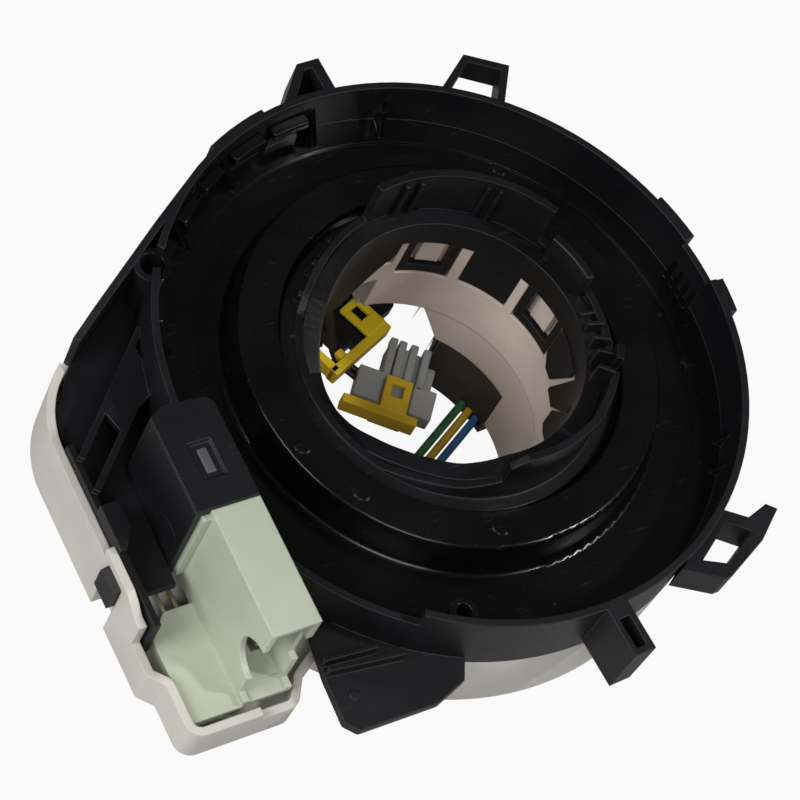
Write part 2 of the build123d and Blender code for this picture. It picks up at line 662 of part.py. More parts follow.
def make_rotor():
    """Light moulding: tube, disc, collar and lead pocket."""
    body = ring(TUBE_R, BORE_R, DISC_TOP, TUBE_TOP)
    body += ring(DISC_R, BORE_R, DISC_BOTTOM, DISC_TOP)
    body += ring(COLLAR_R, COLLAR_IN, REST_Z, DISC_BOTTOM)
    body -= disc(COLLAR_IN, DISC_BOTTOM - CUT, DISC_TOP)
    body += lead_pocket()
    for cut in tube_recesses() + collar_cuts():
        body -= cut
    for angle in LOOP_ANGLES:
        body += sector(TUBE_R - 0.2, LOOP_IN + 0.1, LUG_BOTTOM, LUG_TOP, angle - LUG_HALF_DEG,
                       angle + LUG_HALF_DEG)
    body -= sector(POCKET_R, 15, DISC_BOTTOM - CUT, POCKET_TOP, POCKET_START, POCKET_END)
    return body


def make_rotor_terminal_block():
    """Block in the rotor's pocket from which the leads leave."""
    body = sector(POCKET_R, TUBE_R - 0.3, TERMINAL_BOTTOM, TERMINAL_TOP, TERMINAL_START, POCKET_END)
    for index in range(3):
        body -= make_switch_lead(index)
    for index in range(2):
        body -= make_grey_squib_lead(index)
        body -= make_black_squib_lead(index)
    return body


# Sleeve
def hanging_loop(angle):
    """U-shaped loop that hangs from the sleeve into the tube."""
    start = angle - LOOP_HALF_DEG
    end = angle + LOOP_HALF_DEG
    loop = sector(LOOP_OUT, LOOP_IN, LOOP_BOTTOM, BRIDGE_Z, start, end)
    bridge = sector(SLEEVE_IN + 0.2, LOOP_IN, BRIDGE_Z, BRIDGE_Z + BRIDGE_WALL, start, end)
    window = sector(LOOP_OUT + CUT, LOOP_IN - CUT, LOOP_BOTTOM + LOOP_SILL, BRIDGE_Z - 1.5,
                    start + LOOP_LEG_DEG, end - LOOP_LEG_DEG)
    return loop + bridge - window


def hanging_tab(start, end, bottom):
    """Solid curved tab that hangs from the sleeve into the tube."""
    tab = sector(LOOP_OUT, LOOP_IN, bottom, BRIDGE_Z, start, end)
    return tab + sector(SLEEVE_IN + 0.2, LOOP_IN, BRIDGE_Z, BRIDGE_Z + BRIDGE_WALL, start, end)


def sleeve_wall():
    """Wall and flange of the sleeve, turned about the axis."""
    points = [
        (SLEEVE_IN, FLANGE_Z),
        (FLANGE_R, FLANGE_Z),
        (FLANGE_R, FLANGE_Z + FLANGE_WALL),
        (SLEEVE_R, FLANGE_Z + FLANGE_WALL),
        (SLEEVE_R, COLLAR_TOP),
        (SLEEVE_IN, COLLAR_TOP),
    ]
    return turned(points, {1: 0.3, 2: 0.5, 3: 0.5, 4: 0.3})


def raised_walls():
    """Higher stretches of the sleeve: shield, fingers and side walls."""
    shapes = []
    spans = ((-27, 30, 23.0), (30, 103, SHIELD_TOP), (-33, -27, STEP_TOP), (-62, -36, SIDE_TOP),
             (-102, -65, STEP_TOP))
    for start, end, top in spans:
        shapes.append(sector(SLEEVE_R, SLEEVE_IN, COLLAR_TOP - 2, top, start, end))
    for angle, top in ((50, SHIELD_TOP - 1.5), (87, SHIELD_TOP - 0.5), (-12, 22), (-18, 22), (4, 22),
                       (22, 22), (118, 21.5), (128, 21.5), (140, 21.5), (155, 21.5)):
        rib = [(SLEEVE_R - 0.3, FLANGE_Z + 1), (SLEEVE_R + 1.0, FLANGE_Z + 1), (SLEEVE_R + 0.6, top),
               (SLEEVE_R - 0.3, top)]
        shapes.append(radial_plate(rib, angle, 0.9))
    return shapes


def make_retaining_sleeve():
    """Black sleeve clipped over the rotor's tube."""
    body = sleeve_wall() + raised_walls()
    for angle in LOOP_ANGLES:
        body += hanging_loop(angle)
    body += hanging_tab(TAB_ANGLE - TAB_HALF_DEG, TAB_ANGLE + TAB_HALF_DEG, TAB_BOTTOM)
    body += hanging_tab(SKIRT_START, SKIRT_END, SKIRT_BOTTOM)
    return body


# Switch socket
def make_switch_pins():
    """Pins in the roof of the switch socket."""
    pins = []
    span = (SOCKET_END - SOCKET_START) / SWITCH_PINS
    for index in range(SWITCH_PINS):
        x, y, _ = on_circle((PANEL_R + SOCKET_R) / 2, SOCKET_START + span * (index + 0.5))
        pins.append(block(x - PIN_THICK, x + PIN_THICK, y - PIN_THICK, y + PIN_THICK,
                          SOCKET_BOTTOM + 3, DISC_BOTTOM - 0.8))
    return Compound(pins)


def make_switch_socket():
    """Dark socket under the disc with its panel in the collar's window."""
    body = sector(SOCKET_R, PANEL_R - 0.1, SOCKET_BOTTOM, DISC_BOTTOM, SOCKET_START, SOCKET_END)
    body += sector(PANEL_R, COLLAR_IN, REST_Z, PANEL_TOP, PANEL_START, PANEL_END)
    margin = 2.9
    body -= sector(SOCKET_R - SOCKET_WALL, PANEL_R + SOCKET_WALL, SOCKET_BOTTOM - CUT,
                   DISC_BOTTOM - SOCKET_ROOF, SOCKET_START + margin, SOCKET_END - margin)
    body -= make_switch_pins()
    for index in range(3):
        body -= make_switch_lead(index)
    return body


# Igniter connectors
def igniter_frame(x, y, heading):
    """Location of an igniter connector: local X runs towards the plug end."""
    return Pos(x, y, 0) * Rot(0, 0, heading)


def igniter_body(length):
    """Winged connector body with ribs along its plug end."""
    body = block(-3.4, 3.4, -7.5, 7.5, IGNITER_WING_Z, IGNITER_TOP)
    body += block(-4.4, length, -5.0, 5.0, REST_Z, IGNITER_TOP - 1.6)
    for side in (-3.9, -1.4, 1.4, 3.9):
        body += block(3.0, length, side - 0.7, side + 0.7, IGNITER_TOP - 2.0, IGNITER_TOP)
    body -= block(length - 5, length + CUT, -3.6, 3.6, REST_Z + 1.6, IGNITER_TOP - 3.2)
    return body


def igniter_lock():
    """Secondary lock: clip with a window on the wings and a strip behind them."""
    clip = block(-4.6, 3.0, -2.7, 2.7, IGNITER_TOP, IGNITER_TOP + 1.1)
    clip -= block(-1.4, 1.4, -1.2, 1.2, IGNITER_TOP - CUT, IGNITER_TOP + 2)
    strip = block(-5.4, -4.4, -7.0, 7.0, -26.0, IGNITER_TOP + 1.1)
    link = block(-5.4, -3.4, -2.7, 2.7, IGNITER_TOP - 1.0, IGNITER_TOP + 1.1)
    return clip + strip + link - igniter_body(GREY_LENGTH)


def make_grey_squib_body():
    """Grey igniter connector."""
    body = igniter_frame(*GREY_AT) * igniter_body(GREY_LENGTH)
    for index in range(2):
        body -= make_grey_squib_lead(index)
    return body


def make_grey_squib_lock():
    """Yellow lock of the grey connector."""
    return igniter_frame(*GREY_AT) * igniter_lock()


def make_black_squib_body():
    """Black igniter connector."""
    body = igniter_frame(*BLACK_AT) * igniter_body(BLACK_LENGTH)
    for index in range(2):
        body -= make_black_squib_lead(index)
    return body


def make_black_squib_lock():
    """Yellow lock of the black connector."""
    return igniter_frame(*BLACK_AT) * igniter_lock()


# Leads
def cord(points, radius, name):
    """Round tube on straight runs joined by tangent arcs; prints its bend radii."""
    radii = []
    knots = [Vector(*point) for point in points]
    for index in range(1, len(knots) - 1):
        back = knots[index - 1] - knots[index]
        ahead = knots[index + 1] - knots[index]
        half = radians(180 - back.get_angle(ahead)) / 2
        radii.append(0.45 * min(back.length, ahead.length) / tan(half))
    print(name, "radii", [round(value, 1) for value in radii])
    path = FilletPolyline(*points, radius=radii)
    print(name, "length", round(path.length, 1), "section x length", round(path.length * pi * radius ** 2, 1))
    start = Plane(origin=path @ 0, z_dir=path % 0)
    return sweep(start * Circle(radius), path=path)


def sideways(points, shift):
    """Route moved sideways in plan, mitred at its corners."""
    moved = []
    for index, point in enumerate(points):
        ways = []
        for first, second in ((index - 1, index), (index, index + 1)):
            if first >= 0 and second < len(points):
                way = Vector(points[second][0] - points[first][0], points[second][1] - points[first][1])
                if way.length > 0.01:
                    ways.append(way.normalized())
        if not ways:
            way = Vector(points[2][0] - points[1][0], points[2][1] - points[1][1])
            ways.append(way.normalized())
        total = ways[0] + ways[-1]
        normal = Vector(-total.Y, total.X) * (1 / (1 + ways[0].dot(ways[-1])))
        moved.append((point[0] + normal.X * shift, point[1] + normal.Y * shift, point[2]))
    return moved


def switch_route():
    """Middle route of the three switch leads, from the terminal block round the collar."""
    x, y, _ = on_circle(LEAD_ROW_R, 106.2)
    return [(x, y, TERMINAL_BOTTOM + LEAD_SEAT), (x, y, -15.0), (-5.2, 18.5, LEAD_HEIGHT),
            (-17.0, 10.0, LEAD_HEIGHT), (-18.6, -3.0, LEAD_HEIGHT), (-11.5, -13.0, LEAD_HEIGHT),
            (3.5, -7.5, LEAD_HEIGHT), (23.6, 5.4, LEAD_HEIGHT)]


def make_switch_lead(index):
    """Lead from the rotor's terminal block to the switch socket."""
    route = sideways(switch_route(), (index - 1) * LEAD_SPACING)
    return cord(route, LEAD_R, "switch_lead_" + str(index))


def black_lead_route(index):
    """Route from the terminal block down and into the side of the black connector."""
    x, y, _ = on_circle(LEAD_ROW_R + 2.7, 107.0 + 3.2 * index)
    height = -20.0 - 2.2 * index
    end = (igniter_frame(*BLACK_AT) * Pos(2.0 - 0.6 * index, 7.5 - LEAD_SEAT, height)).position
    return [(x, y, TERMINAL_BOTTOM + LEAD_SEAT), (x, y, height), (end.X, end.Y, height)]


def make_black_squib_lead(index):
    """Lead of the black igniter connector."""
    return cord(black_lead_route(index), IGNITER_LEAD_R, "black_squib_lead_" + str(index))


def grey_lead_route(index):
    """Route from the terminal block through the bore into the side of the grey connector."""
    x, y, _ = on_circle(LEAD_ROW_R + 1.2 + 1.6 * index, 100.2)
    across = 1.0 * index
    along = 1.15 * index
    end = (igniter_frame(*GREY_AT) * Pos(1.5 + 1.5 * index, 7.5 - LEAD_SEAT, -19.5)).position
    return [(x, y, TERMINAL_BOTTOM + LEAD_SEAT), (-2.9 + across, 26.2 + along, -10.5),
            (-1.9 + across, 20.5 + along, -18.5), (end.X, end.Y, -19.5)]


def make_grey_squib_lead(index):
    """Lead of the grey igniter connector."""
    return cord(grey_lead_route(index), IGNITER_LEAD_R, "grey_squib_lead_" + str(index))


def nodes():
    """Every node with its shape."""
    parts = {
        "rear_housing": make_rear_housing(),
        "front_housing": make_front_housing(),
        "main_connector": make_main_connector(),
        "connector_pins_upper": make_connector_pins_upper(),
        "connector_pins_lower": make_connector_pins_lower(),
        "stator_terminal_block": make_stator_terminal_block(),
        "ribbon_cable": make_ribbon_cable(),
        "slip_sheet_rear": make_slip_sheet_rear(),
        "slip_sheet_front": make_slip_sheet_front(),
        "rotor": make_rotor(),
        "rotor_terminal_block": make_rotor_terminal_block(),
        "retaining_sleeve": make_retaining_sleeve(),
        "switch_socket": make_switch_socket(),
        "switch_pins": make_switch_pins(),
        "grey_squib_body": make_grey_squib_body(),
        "grey_squib_lock": make_grey_squib_lock(),
        "black_squib_body": make_black_squib_body(),
        "black_squib_lock": make_black_squib_lock(),
    }
    for index, colour in enumerate(("blue", "yellow", "green")):
        parts["switch_lead_" + colour] = make_switch_lead(index)
    for index, letter in enumerate("ab"):
        parts["black_squib_lead_" + letter] = make_black_squib_lead(index)
        parts["grey_squib_lead_" + letter] = make_grey_squib_lead(index)
    return parts


os.makedirs("parts", exist_ok=True)
for node, shape in nodes().items():
    export_step(shape, "parts/" + node + ".step")
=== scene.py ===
"""Studio scene of a steering clock spring.

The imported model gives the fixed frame. Each sub-assembly is a class that dresses its
nodes, adds its fine pieces and puts them on the body that they move with. Lengths are in
metres and the origin lies on the bore axis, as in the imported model.
"""
import logging
from dataclasses import dataclass, field
from enum import Enum
from math import atan2, cos, degrees, hypot, radians, sin
from typing import Any, Callable, Iterable, Sequence

import bmesh
import bpy
from mathutils import Matrix, Vector

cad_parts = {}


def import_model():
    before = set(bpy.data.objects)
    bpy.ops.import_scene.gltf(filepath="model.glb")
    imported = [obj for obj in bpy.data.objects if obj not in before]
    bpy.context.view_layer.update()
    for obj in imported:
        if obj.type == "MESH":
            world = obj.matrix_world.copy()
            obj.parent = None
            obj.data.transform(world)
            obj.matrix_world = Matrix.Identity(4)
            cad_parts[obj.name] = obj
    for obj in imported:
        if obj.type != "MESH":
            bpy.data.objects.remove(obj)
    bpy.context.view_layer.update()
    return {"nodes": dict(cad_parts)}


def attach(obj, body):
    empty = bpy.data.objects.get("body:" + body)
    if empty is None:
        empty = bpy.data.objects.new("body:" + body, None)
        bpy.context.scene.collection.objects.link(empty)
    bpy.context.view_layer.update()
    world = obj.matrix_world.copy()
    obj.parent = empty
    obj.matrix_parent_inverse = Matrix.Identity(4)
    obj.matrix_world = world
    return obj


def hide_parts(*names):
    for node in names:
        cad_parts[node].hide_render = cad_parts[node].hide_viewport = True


log = logging.getLogger("clock_spring")
MM = 0.001
Colour = tuple[float, float, float]
Point = tuple[float, float, float]
Pair = tuple[float, float]
Line = tuple[Pair, Pair]
Outline = tuple[Pair, ...]
Shape = bmesh.types.BMesh
Nodes = dict[str, bpy.types.Object]
CENTRE = (0, 0, 0)
AXIS = (0, 0, 1)
FULL_TURN = 360
# Merging distance in metres.
MERGE = 0.000001
# Slack in millimetres when vertices are told apart by place.
NEAR = 0.1
TOUCH = 0.01


class Body(Enum):
    """The two bodies that turn against each other."""

    STATOR = "stator"
    ROTOR = "rotor"


def tint(red: int, green: int, blue: int) -> Colour:
    """Returns the linear colour of three display levels from 0 to 255."""
    levels = [value / 255 for value in (red, green, blue)]
    return tuple(v / 12.92 if v <= 0.04045 else ((v + 0.055) / 1.055) ** 2.4 for v in levels)


def millimetres(points: Iterable[Sequence[float]]) -> list[Vector]:
    """Returns points given in millimetres as vectors in metres."""
    return [Vector(point) * MM for point in points]


class Wire:
    """A shader socket that takes part in Python expressions."""

    def __init__(self, tree: bpy.types.NodeTree, socket: bpy.types.NodeSocket) -> None:
        """Wraps a socket.

        Args:
            tree: Node tree that owns the socket.
            socket: Output socket to wrap.
        """
        self.tree = tree
        self.socket = socket

    def _math(self, operation: str, first: Any, second: Any = None) -> "Wire":
        """Adds one Math node.

        Args:
            operation: The node's operation.
            first: First value or wire.
            second: Second value or wire, where the operation has one.

        Returns:
            The node's result.
        """
        node = self.tree.nodes.new("ShaderNodeMath")
        node.operation = operation
        for index, item in enumerate((first, second)):
            if isinstance(item, Wire):
                self.tree.links.new(item.socket, node.inputs[index])
            elif item is not None:
                node.inputs[index].default_value = item
        return Wire(self.tree, node.outputs[0])

    def __add__(self, other: Any) -> "Wire":
        """Sum."""
        return self._math("ADD", self, other)

    __radd__ = __add__

    def __sub__(self, other: Any) -> "Wire":
        """Difference."""
        return self._math("SUBTRACT", self, other)

    def __rsub__(self, other: Any) -> "Wire":
        """Reflected difference."""
        return self._math("SUBTRACT", other, self)

    def __mul__(self, other: Any) -> "Wire":
        """Product."""
        return self._math("MULTIPLY", self, other)

    __rmul__ = __mul__

    def __truediv__(self, other: Any) -> "Wire":
        """Quotient."""
        return self._math("DIVIDE", self, other)

    def __pow__(self, other: Any) -> "Wire":
        """Power."""
        return self._math("POWER", self, other)

    def sine(self) -> "Wire":
        """Sine of the value."""
        return self._math("SINE", self)

    def arc(self, across: "Wire") -> "Wire":
        """Angle whose tangent is this value over another."""
        return self._math("ARCTAN2", self, across)

    def most(self, other: Any) -> "Wire":
        """The larger of two values."""
        return self._math("MAXIMUM", self, other)


class Shader:
    """Builds one node material around a Principled shader."""

    def __init__(self, name: str) -> None:
        """Starts an empty material.

        Args:
            name: Material name.
        """
        self.material = bpy.data.materials.new(name)
        self.material.use_nodes = True
        self.tree = self.material.node_tree
        self.tree.nodes.clear()
        self.place = self.node("ShaderNodeTexCoord").outputs["Object"]

    def node(self, kind: str, settings: dict[str, Any] | None = None,
             sockets: dict[str | int, Any] | None = None) -> bpy.types.Node:
        """Adds a node.

        Args:
            kind: Node type.
            settings: Attributes that are set first; "stops" fills a ramp.
            sockets: Values, sockets or wires for the inputs.

        Returns:
            The new node.
        """
        made = self.tree.nodes.new(kind)
        for key, value in (settings or {}).items():
            if key == "stops":
                ramp = made.color_ramp
                while len(ramp.elements) < len(value):
                    ramp.elements.new(1.0)
                for element, (place, colour) in zip(ramp.elements, value):
                    element.position = place
                    element.color = (*colour, 1.0)
            else:
                setattr(made, key, value)
        for key, value in (sockets or {}).items():
            socket = made.inputs[key]
            if isinstance(value, Wire):
                self.tree.links.new(value.socket, socket)
            elif isinstance(value, bpy.types.NodeSocket):
                self.tree.links.new(value, socket)
            elif isinstance(value, tuple) and socket.type == "RGBA":
                socket.default_value = (*value, 1.0)
            else:
                socket.default_value = value
        return made

    def wire(self, socket: bpy.types.NodeSocket) -> Wire:
        """Wraps a socket of this material."""
        return Wire(self.tree, socket)

    def axes(self) -> tuple[Wire, Wire, Wire]:
        """Returns the object coordinates as three wires."""
        parts = self.node("ShaderNodeSeparateXYZ", None, {0: self.place})
        return tuple(self.wire(socket) for socket in parts.outputs)

    def noise(self, scale: float, detail: float = 2.0, stretch: Point = (1.0, 1.0, 1.0),
              turn: Point = (0.0, 0.0, 0.0)) -> Wire:
        """Adds a noise pattern on object coordinates.

        Args:
            scale: Cells per metre.
            detail: Octaves of the noise.
            stretch: Scale of the pattern along each axis.
            turn: Rotation of the pattern in degrees.

        Returns:
            The pattern from 0 to 1.
        """
        turned = tuple(radians(angle) for angle in turn)
        mapped = self.node("ShaderNodeMapping", None,
                           {"Vector": self.place, "Scale": stretch, "Rotation": turned})
        made = self.node("ShaderNodeTexNoise", None,
                         {"Vector": mapped.outputs[0], "Scale": scale, "Detail": detail})
        return self.wire(made.outputs["Fac"])

    def band(self, value: Wire, low: float, high: float) -> Wire:
        """Maps a value smoothly to 0 below low and 1 above high.

        Args:
            value: Value to map.
            low: Where the result leaves 0.
            high: Where the result reaches 1.

        Returns:
            The mapped value.
        """
        made = self.node("ShaderNodeMapRange", {"interpolation_type": "SMOOTHSTEP"},
                         {"Value": value, "From Min": low, "From Max": high})
        return self.wire(made.outputs[0])

    def mix(self, factor: Any, first: Any, second: Any) -> bpy.types.NodeSocket:
        """Mixes two colours.

        Args:
            factor: Share of the second colour.
            first: Colour or socket.
            second: Colour or socket.

        Returns:
            The mixed colour's socket.
        """
        made = self.node("ShaderNodeMix", {"data_type": "RGBA"}, {0: factor, 6: first, 7: second})
        return made.outputs[2]

    def rounded(self, radius: float) -> tuple[bpy.types.NodeSocket, Wire]:
        """Softens edges and finds them.

        Args:
            radius: Radius of the softened edge.

        Returns:
            The softened normal, and a mask that is 1 on edges.
        """
        soft = self.node("ShaderNodeBevel", {"samples": 6}, {"Radius": radius}).outputs[0]
        flat = self.node("ShaderNodeNewGeometry").outputs["Normal"]
        dot = self.node("ShaderNodeVectorMath", {"operation": "DOT_PRODUCT"}, {0: soft, 1: flat})
        return soft, self.band(1.0 - self.wire(dot.outputs["Value"]), 0.02, 0.22)

    def bump(self, height: Wire, distance: float, normal: bpy.types.NodeSocket | None = None,
             strength: float = 1.0) -> bpy.types.NodeSocket:
        """Adds a bump.

        Args:
            height: Height pattern.
            distance: Height of the pattern in metres.
            normal: Normal that the bump starts from.
            strength: Share of the bump.

        Returns:
            The bumped normal.
        """
        sockets = {"Height": height, "Distance": distance, "Strength": strength}
        if normal is not None:
            sockets["Normal"] = normal
        return self.node("ShaderNodeBump", None, sockets).outputs[0]

    def finish(self, sockets: dict[str, Any]) -> bpy.types.Material:
        """Ends the material in a Principled shader.

        Args:
            sockets: Inputs of the Principled shader.

        Returns:
            The finished material.
        """
        surface = self.node("ShaderNodeBsdfPrincipled", None, sockets)
        end = self.node("ShaderNodeOutputMaterial")
        self.tree.links.new(surface.outputs[0], end.inputs[0])
        return self.material


@dataclass(frozen=True)
class Moulding:
    """Moulded plastic with grain, handling marks, dust and softened edges."""

    name: str
    colour: Colour
    shade: Colour
    worn: Colour
    rough: Pair
    grain: float = 0.00001
    marks: float = 0.12
    dust: float = 0.1
    wear: float = 0.3
    edge: float = 0.00028
    glow: float = 0.0
    shine: float = 0.5

    def build(self) -> bpy.types.Material:
        """Builds the material.

        Returns:
            The finished material.
        """
        made = Shader(self.name)
        soft, edges = made.rounded(self.edge)
        cloud = made.band(made.noise(42, 3), 0.32, 0.68)
        scuff = made.band(made.noise(160, 4, (1, 7, 2), (20, 0, 35)), 0.62, 0.74)
        speck = made.band(made.noise(1900, 1), 0.74, 0.80)
        streak = made.band(made.noise(90, 2, (9, 1, 1), (0, 15, -30)), 0.66, 0.72)
        body = made.mix(cloud, self.colour, self.shade)
        body = made.mix(edges * self.wear + scuff * self.marks + speck * self.dust, body, self.worn)
        low, high = self.rough
        rough = low + cloud * (high - low) + scuff * 0.12 + streak * 0.08
        fine = made.noise(2600, 2) + scuff * 0.6
        sockets = {"Base Color": body, "Roughness": rough, "Specular IOR Level": self.shine,
                   "Normal": made.bump(fine, self.grain, soft)}
        if self.glow:
            sockets["Subsurface Weight"] = self.glow
            sockets["Subsurface Scale"] = 0.002
            sockets["Subsurface Radius"] = (1.0, 0.9, 0.6)
        return made.finish(sockets)


@dataclass(frozen=True)
class GlossDish:
    """Black moulding that is polished in the dish and satin outside it."""

    name: str
    colour: Colour
    satin: Colour
    worn: Colour
    dish: Pair = (0.0312, 0.0523)

    def build(self) -> bpy.types.Material:
        """Builds the material.

        Returns:
            The finished material.
        """
        made = Shader(self.name)
        x, y, z = made.axes()
        radius = (x * x + y * y) ** 0.5
        polished = made.band(radius, self.dish[1] + 0.0006, self.dish[1]) * made.band(z, 0.0207, 0.0203)
        soft, edges = made.rounded(0.00035)
        cloud = made.band(made.noise(55, 4), 0.35, 0.7)
        turning = y.arc(x)
        rings = made.noise(260, 2, (0.3, 0.3, 1)) * 0.25 + (radius * 2600 + turning).sine() * 0.05
        scuff = made.band(made.noise(210, 4, (1, 6, 2), (0, 0, 40)), 0.64, 0.74)
        speck = made.band(made.noise(1500, 1), 0.76, 0.81)
        body = made.mix(polished, self.satin, self.colour)
        body = made.mix(edges * (0.26 - polished * 0.16) + scuff * 0.08 + speck * 0.14 + cloud * 0.03, body,
                        self.worn)
        rough = 0.43 - polished * 0.27 + cloud * 0.07 + scuff * 0.16
        fine = made.noise(2300, 2) * (1.0 - polished * 0.85) + rings * 0.12
        return made.finish({"Base Color": body, "Roughness": rough, "Specular IOR Level": 0.34,
                            "Normal": made.bump(fine, 0.000016, soft)})


@dataclass(frozen=True)
class Insulation:
    """Soft extruded insulation of a lead."""

    name: str
    colour: Colour
    shade: Colour

    def build(self) -> bpy.types.Material:
        """Builds the material.

        Returns:
            The finished material.
        """
        made = Shader(self.name)
        cloud = made.band(made.noise(240, 3), 0.35, 0.7)
        grime = made.band(made.noise(600, 3), 0.6, 0.75)
        body = made.mix(cloud * 0.6 + grime * 0.3, self.colour, self.shade)
        return made.finish({"Base Color": body, "Roughness": 0.42 + cloud * 0.12,
                            "Normal": made.bump(made.noise(1800, 2), 0.00002)})


@dataclass(frozen=True)
class Metal:
    """Plated contact metal."""

    name: str
    colour: Colour
    rough: float = 0.26

    def build(self) -> bpy.types.Material:
        """Builds the material.

        Returns:
            The finished material.
        """
        made = Shader(self.name)
        cloud = made.noise(700, 3, (1, 1, 5))
        body = made.mix(cloud * 0.5, self.colour, tint(110, 100, 88))
        return made.finish({"Base Color": body, "Metallic": 1.0, "Roughness": self.rough + cloud * 0.15,
                            "Normal": made.bump(cloud, 0.00001)})


@dataclass(frozen=True)
class Film:
    """Thin glossy film of the cassette."""

    name: str
    colour: Colour
    shade: Colour

    def build(self) -> bpy.types.Material:
        """Builds the material.

        Returns:
            The finished material.
        """
        made = Shader(self.name)
        cloud = made.band(made.noise(120, 2), 0.4, 0.65)
        body = made.mix(cloud, self.colour, self.shade)
        return made.finish({"Base Color": body, "Roughness": 0.2 + cloud * 0.15,
                            "Normal": made.bump(made.noise(500, 2), 0.00003)})


BLACK = GlossDish("black_plastic", tint(6, 6, 7), tint(19, 19, 22), tint(80, 80, 86))
SLEEVE_BLACK = Moulding("sleeve_black", tint(15, 15, 17), tint(22, 22, 25), tint(84, 84, 88), (0.34, 0.48),
                        0.000018, 0.08, 0.10, 0.26, shine=0.28)
CREAM = Moulding("light_plastic", tint(216, 212, 204), tint(203, 198, 190), tint(168, 156, 140), (0.4, 0.52),
                 0.000012, 0.10, 0.14, 0.10, 0.0004, 0.12)
TUBE = Moulding("tube_plastic", tint(212, 198, 186), tint(190, 174, 164), tint(150, 128, 114), (0.32, 0.46),
                0.000010, 0.12, 0.16, 0.10, 0.0004, 0.14)
PALE_GREEN = Moulding("pale_green_plastic", tint(194, 200, 180), tint(182, 190, 170), tint(206, 206, 188),
                      (0.3, 0.42), 0.000010, 0.10, 0.06, 0.35, 0.0004, 0.22)
BROWN = Moulding("dark_brown_plastic", tint(56, 46, 44), tint(46, 38, 38), tint(100, 88, 84), (0.4, 0.55),
                 0.000016, 0.12, 0.12, 0.25)
YELLOW = Moulding("yellow_plastic", tint(250, 216, 44), tint(240, 200, 32), tint(252, 232, 130), (0.34, 0.46),
                  0.000010, 0.12, 0.08, 0.22)
CONNECTOR_BLACK = Moulding("connector_black", tint(20, 20, 24), tint(28, 28, 34), tint(84, 84, 92),
                           (0.36, 0.5), 0.000014, 0.10, 0.10, 0.25)
LUG_GREY = Moulding("lug_grey", tint(92, 92, 92), tint(80, 80, 82), tint(120, 120, 120), (0.4, 0.5))
CONTACT = Metal("pin_metal", tint(206, 196, 178))
SLIP = Film("slip_film", tint(214, 210, 200), tint(198, 192, 180))
RIBBON = Film("ribbon_film", tint(226, 222, 210), tint(190, 160, 120))
LEAD_BLUE = Insulation("blue_lead", tint(66, 134, 200), tint(48, 104, 166))
LEAD_YELLOW = Insulation("yellow_lead", tint(250, 214, 60), tint(228, 184, 36))
LEAD_GREEN = Insulation("green_lead", tint(84, 160, 96), tint(60, 128, 74))
LEAD_BROWN = Insulation("brown_lead", tint(26, 22, 24), tint(18, 16, 18))
LEAD_DARK = Insulation("dark_blue_lead", tint(28, 44, 92), tint(20, 32, 68))


@dataclass(frozen=True)
class Finish:
    """A material with the body and the slot name of the piece that wears it."""

    material: bpy.types.Material
    body: Body
    slot: str


def dress(material: bpy.types.Material, *nodes: bpy.types.Object) -> None:
    """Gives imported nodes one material.

    Args:
        material: The finish.
        nodes: The nodes' objects.
    """
    for node in nodes:
        if not node.material_slots:
            node.data.materials.append(material)
        for slot in node.material_slots:
            slot.material = material


def put(name: str, shape: Shape, finish: Finish, replaced: str | None) -> None:
    """Puts a bmesh in the scene on a body.

    Args:
        name: Piece name.
        shape: Its shape, in place, which is freed.
        finish: Its material, body and slot.
        replaced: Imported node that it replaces, if any.
    """
    mesh = bpy.data.meshes.new(name)
    shape.to_mesh(mesh)
    shape.free()
    mesh.materials.append(finish.material)
    made = bpy.data.objects.new(name, mesh)
    bpy.context.scene.collection.objects.link(made)
    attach(made, finish.body.value)
    if replaced:
        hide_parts(replaced)
    log.info("piece %s with %d faces", name, len(mesh.polygons))


def piece(name: str, shape: Shape, finish: Finish, replaced: str | None = None) -> None:
    """Merges a bmesh, turns its normals outwards and puts it in the scene.

    Args:
        name: Piece name.
        shape: Its shape, in place, which is freed.
        finish: Its material, body and slot.
        replaced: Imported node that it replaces, if any.
    """
    bmesh.ops.remove_doubles(shape, verts=shape.verts, dist=MERGE)
    bmesh.ops.recalc_face_normals(shape, faces=shape.faces)
    put(name, shape, finish, replaced)


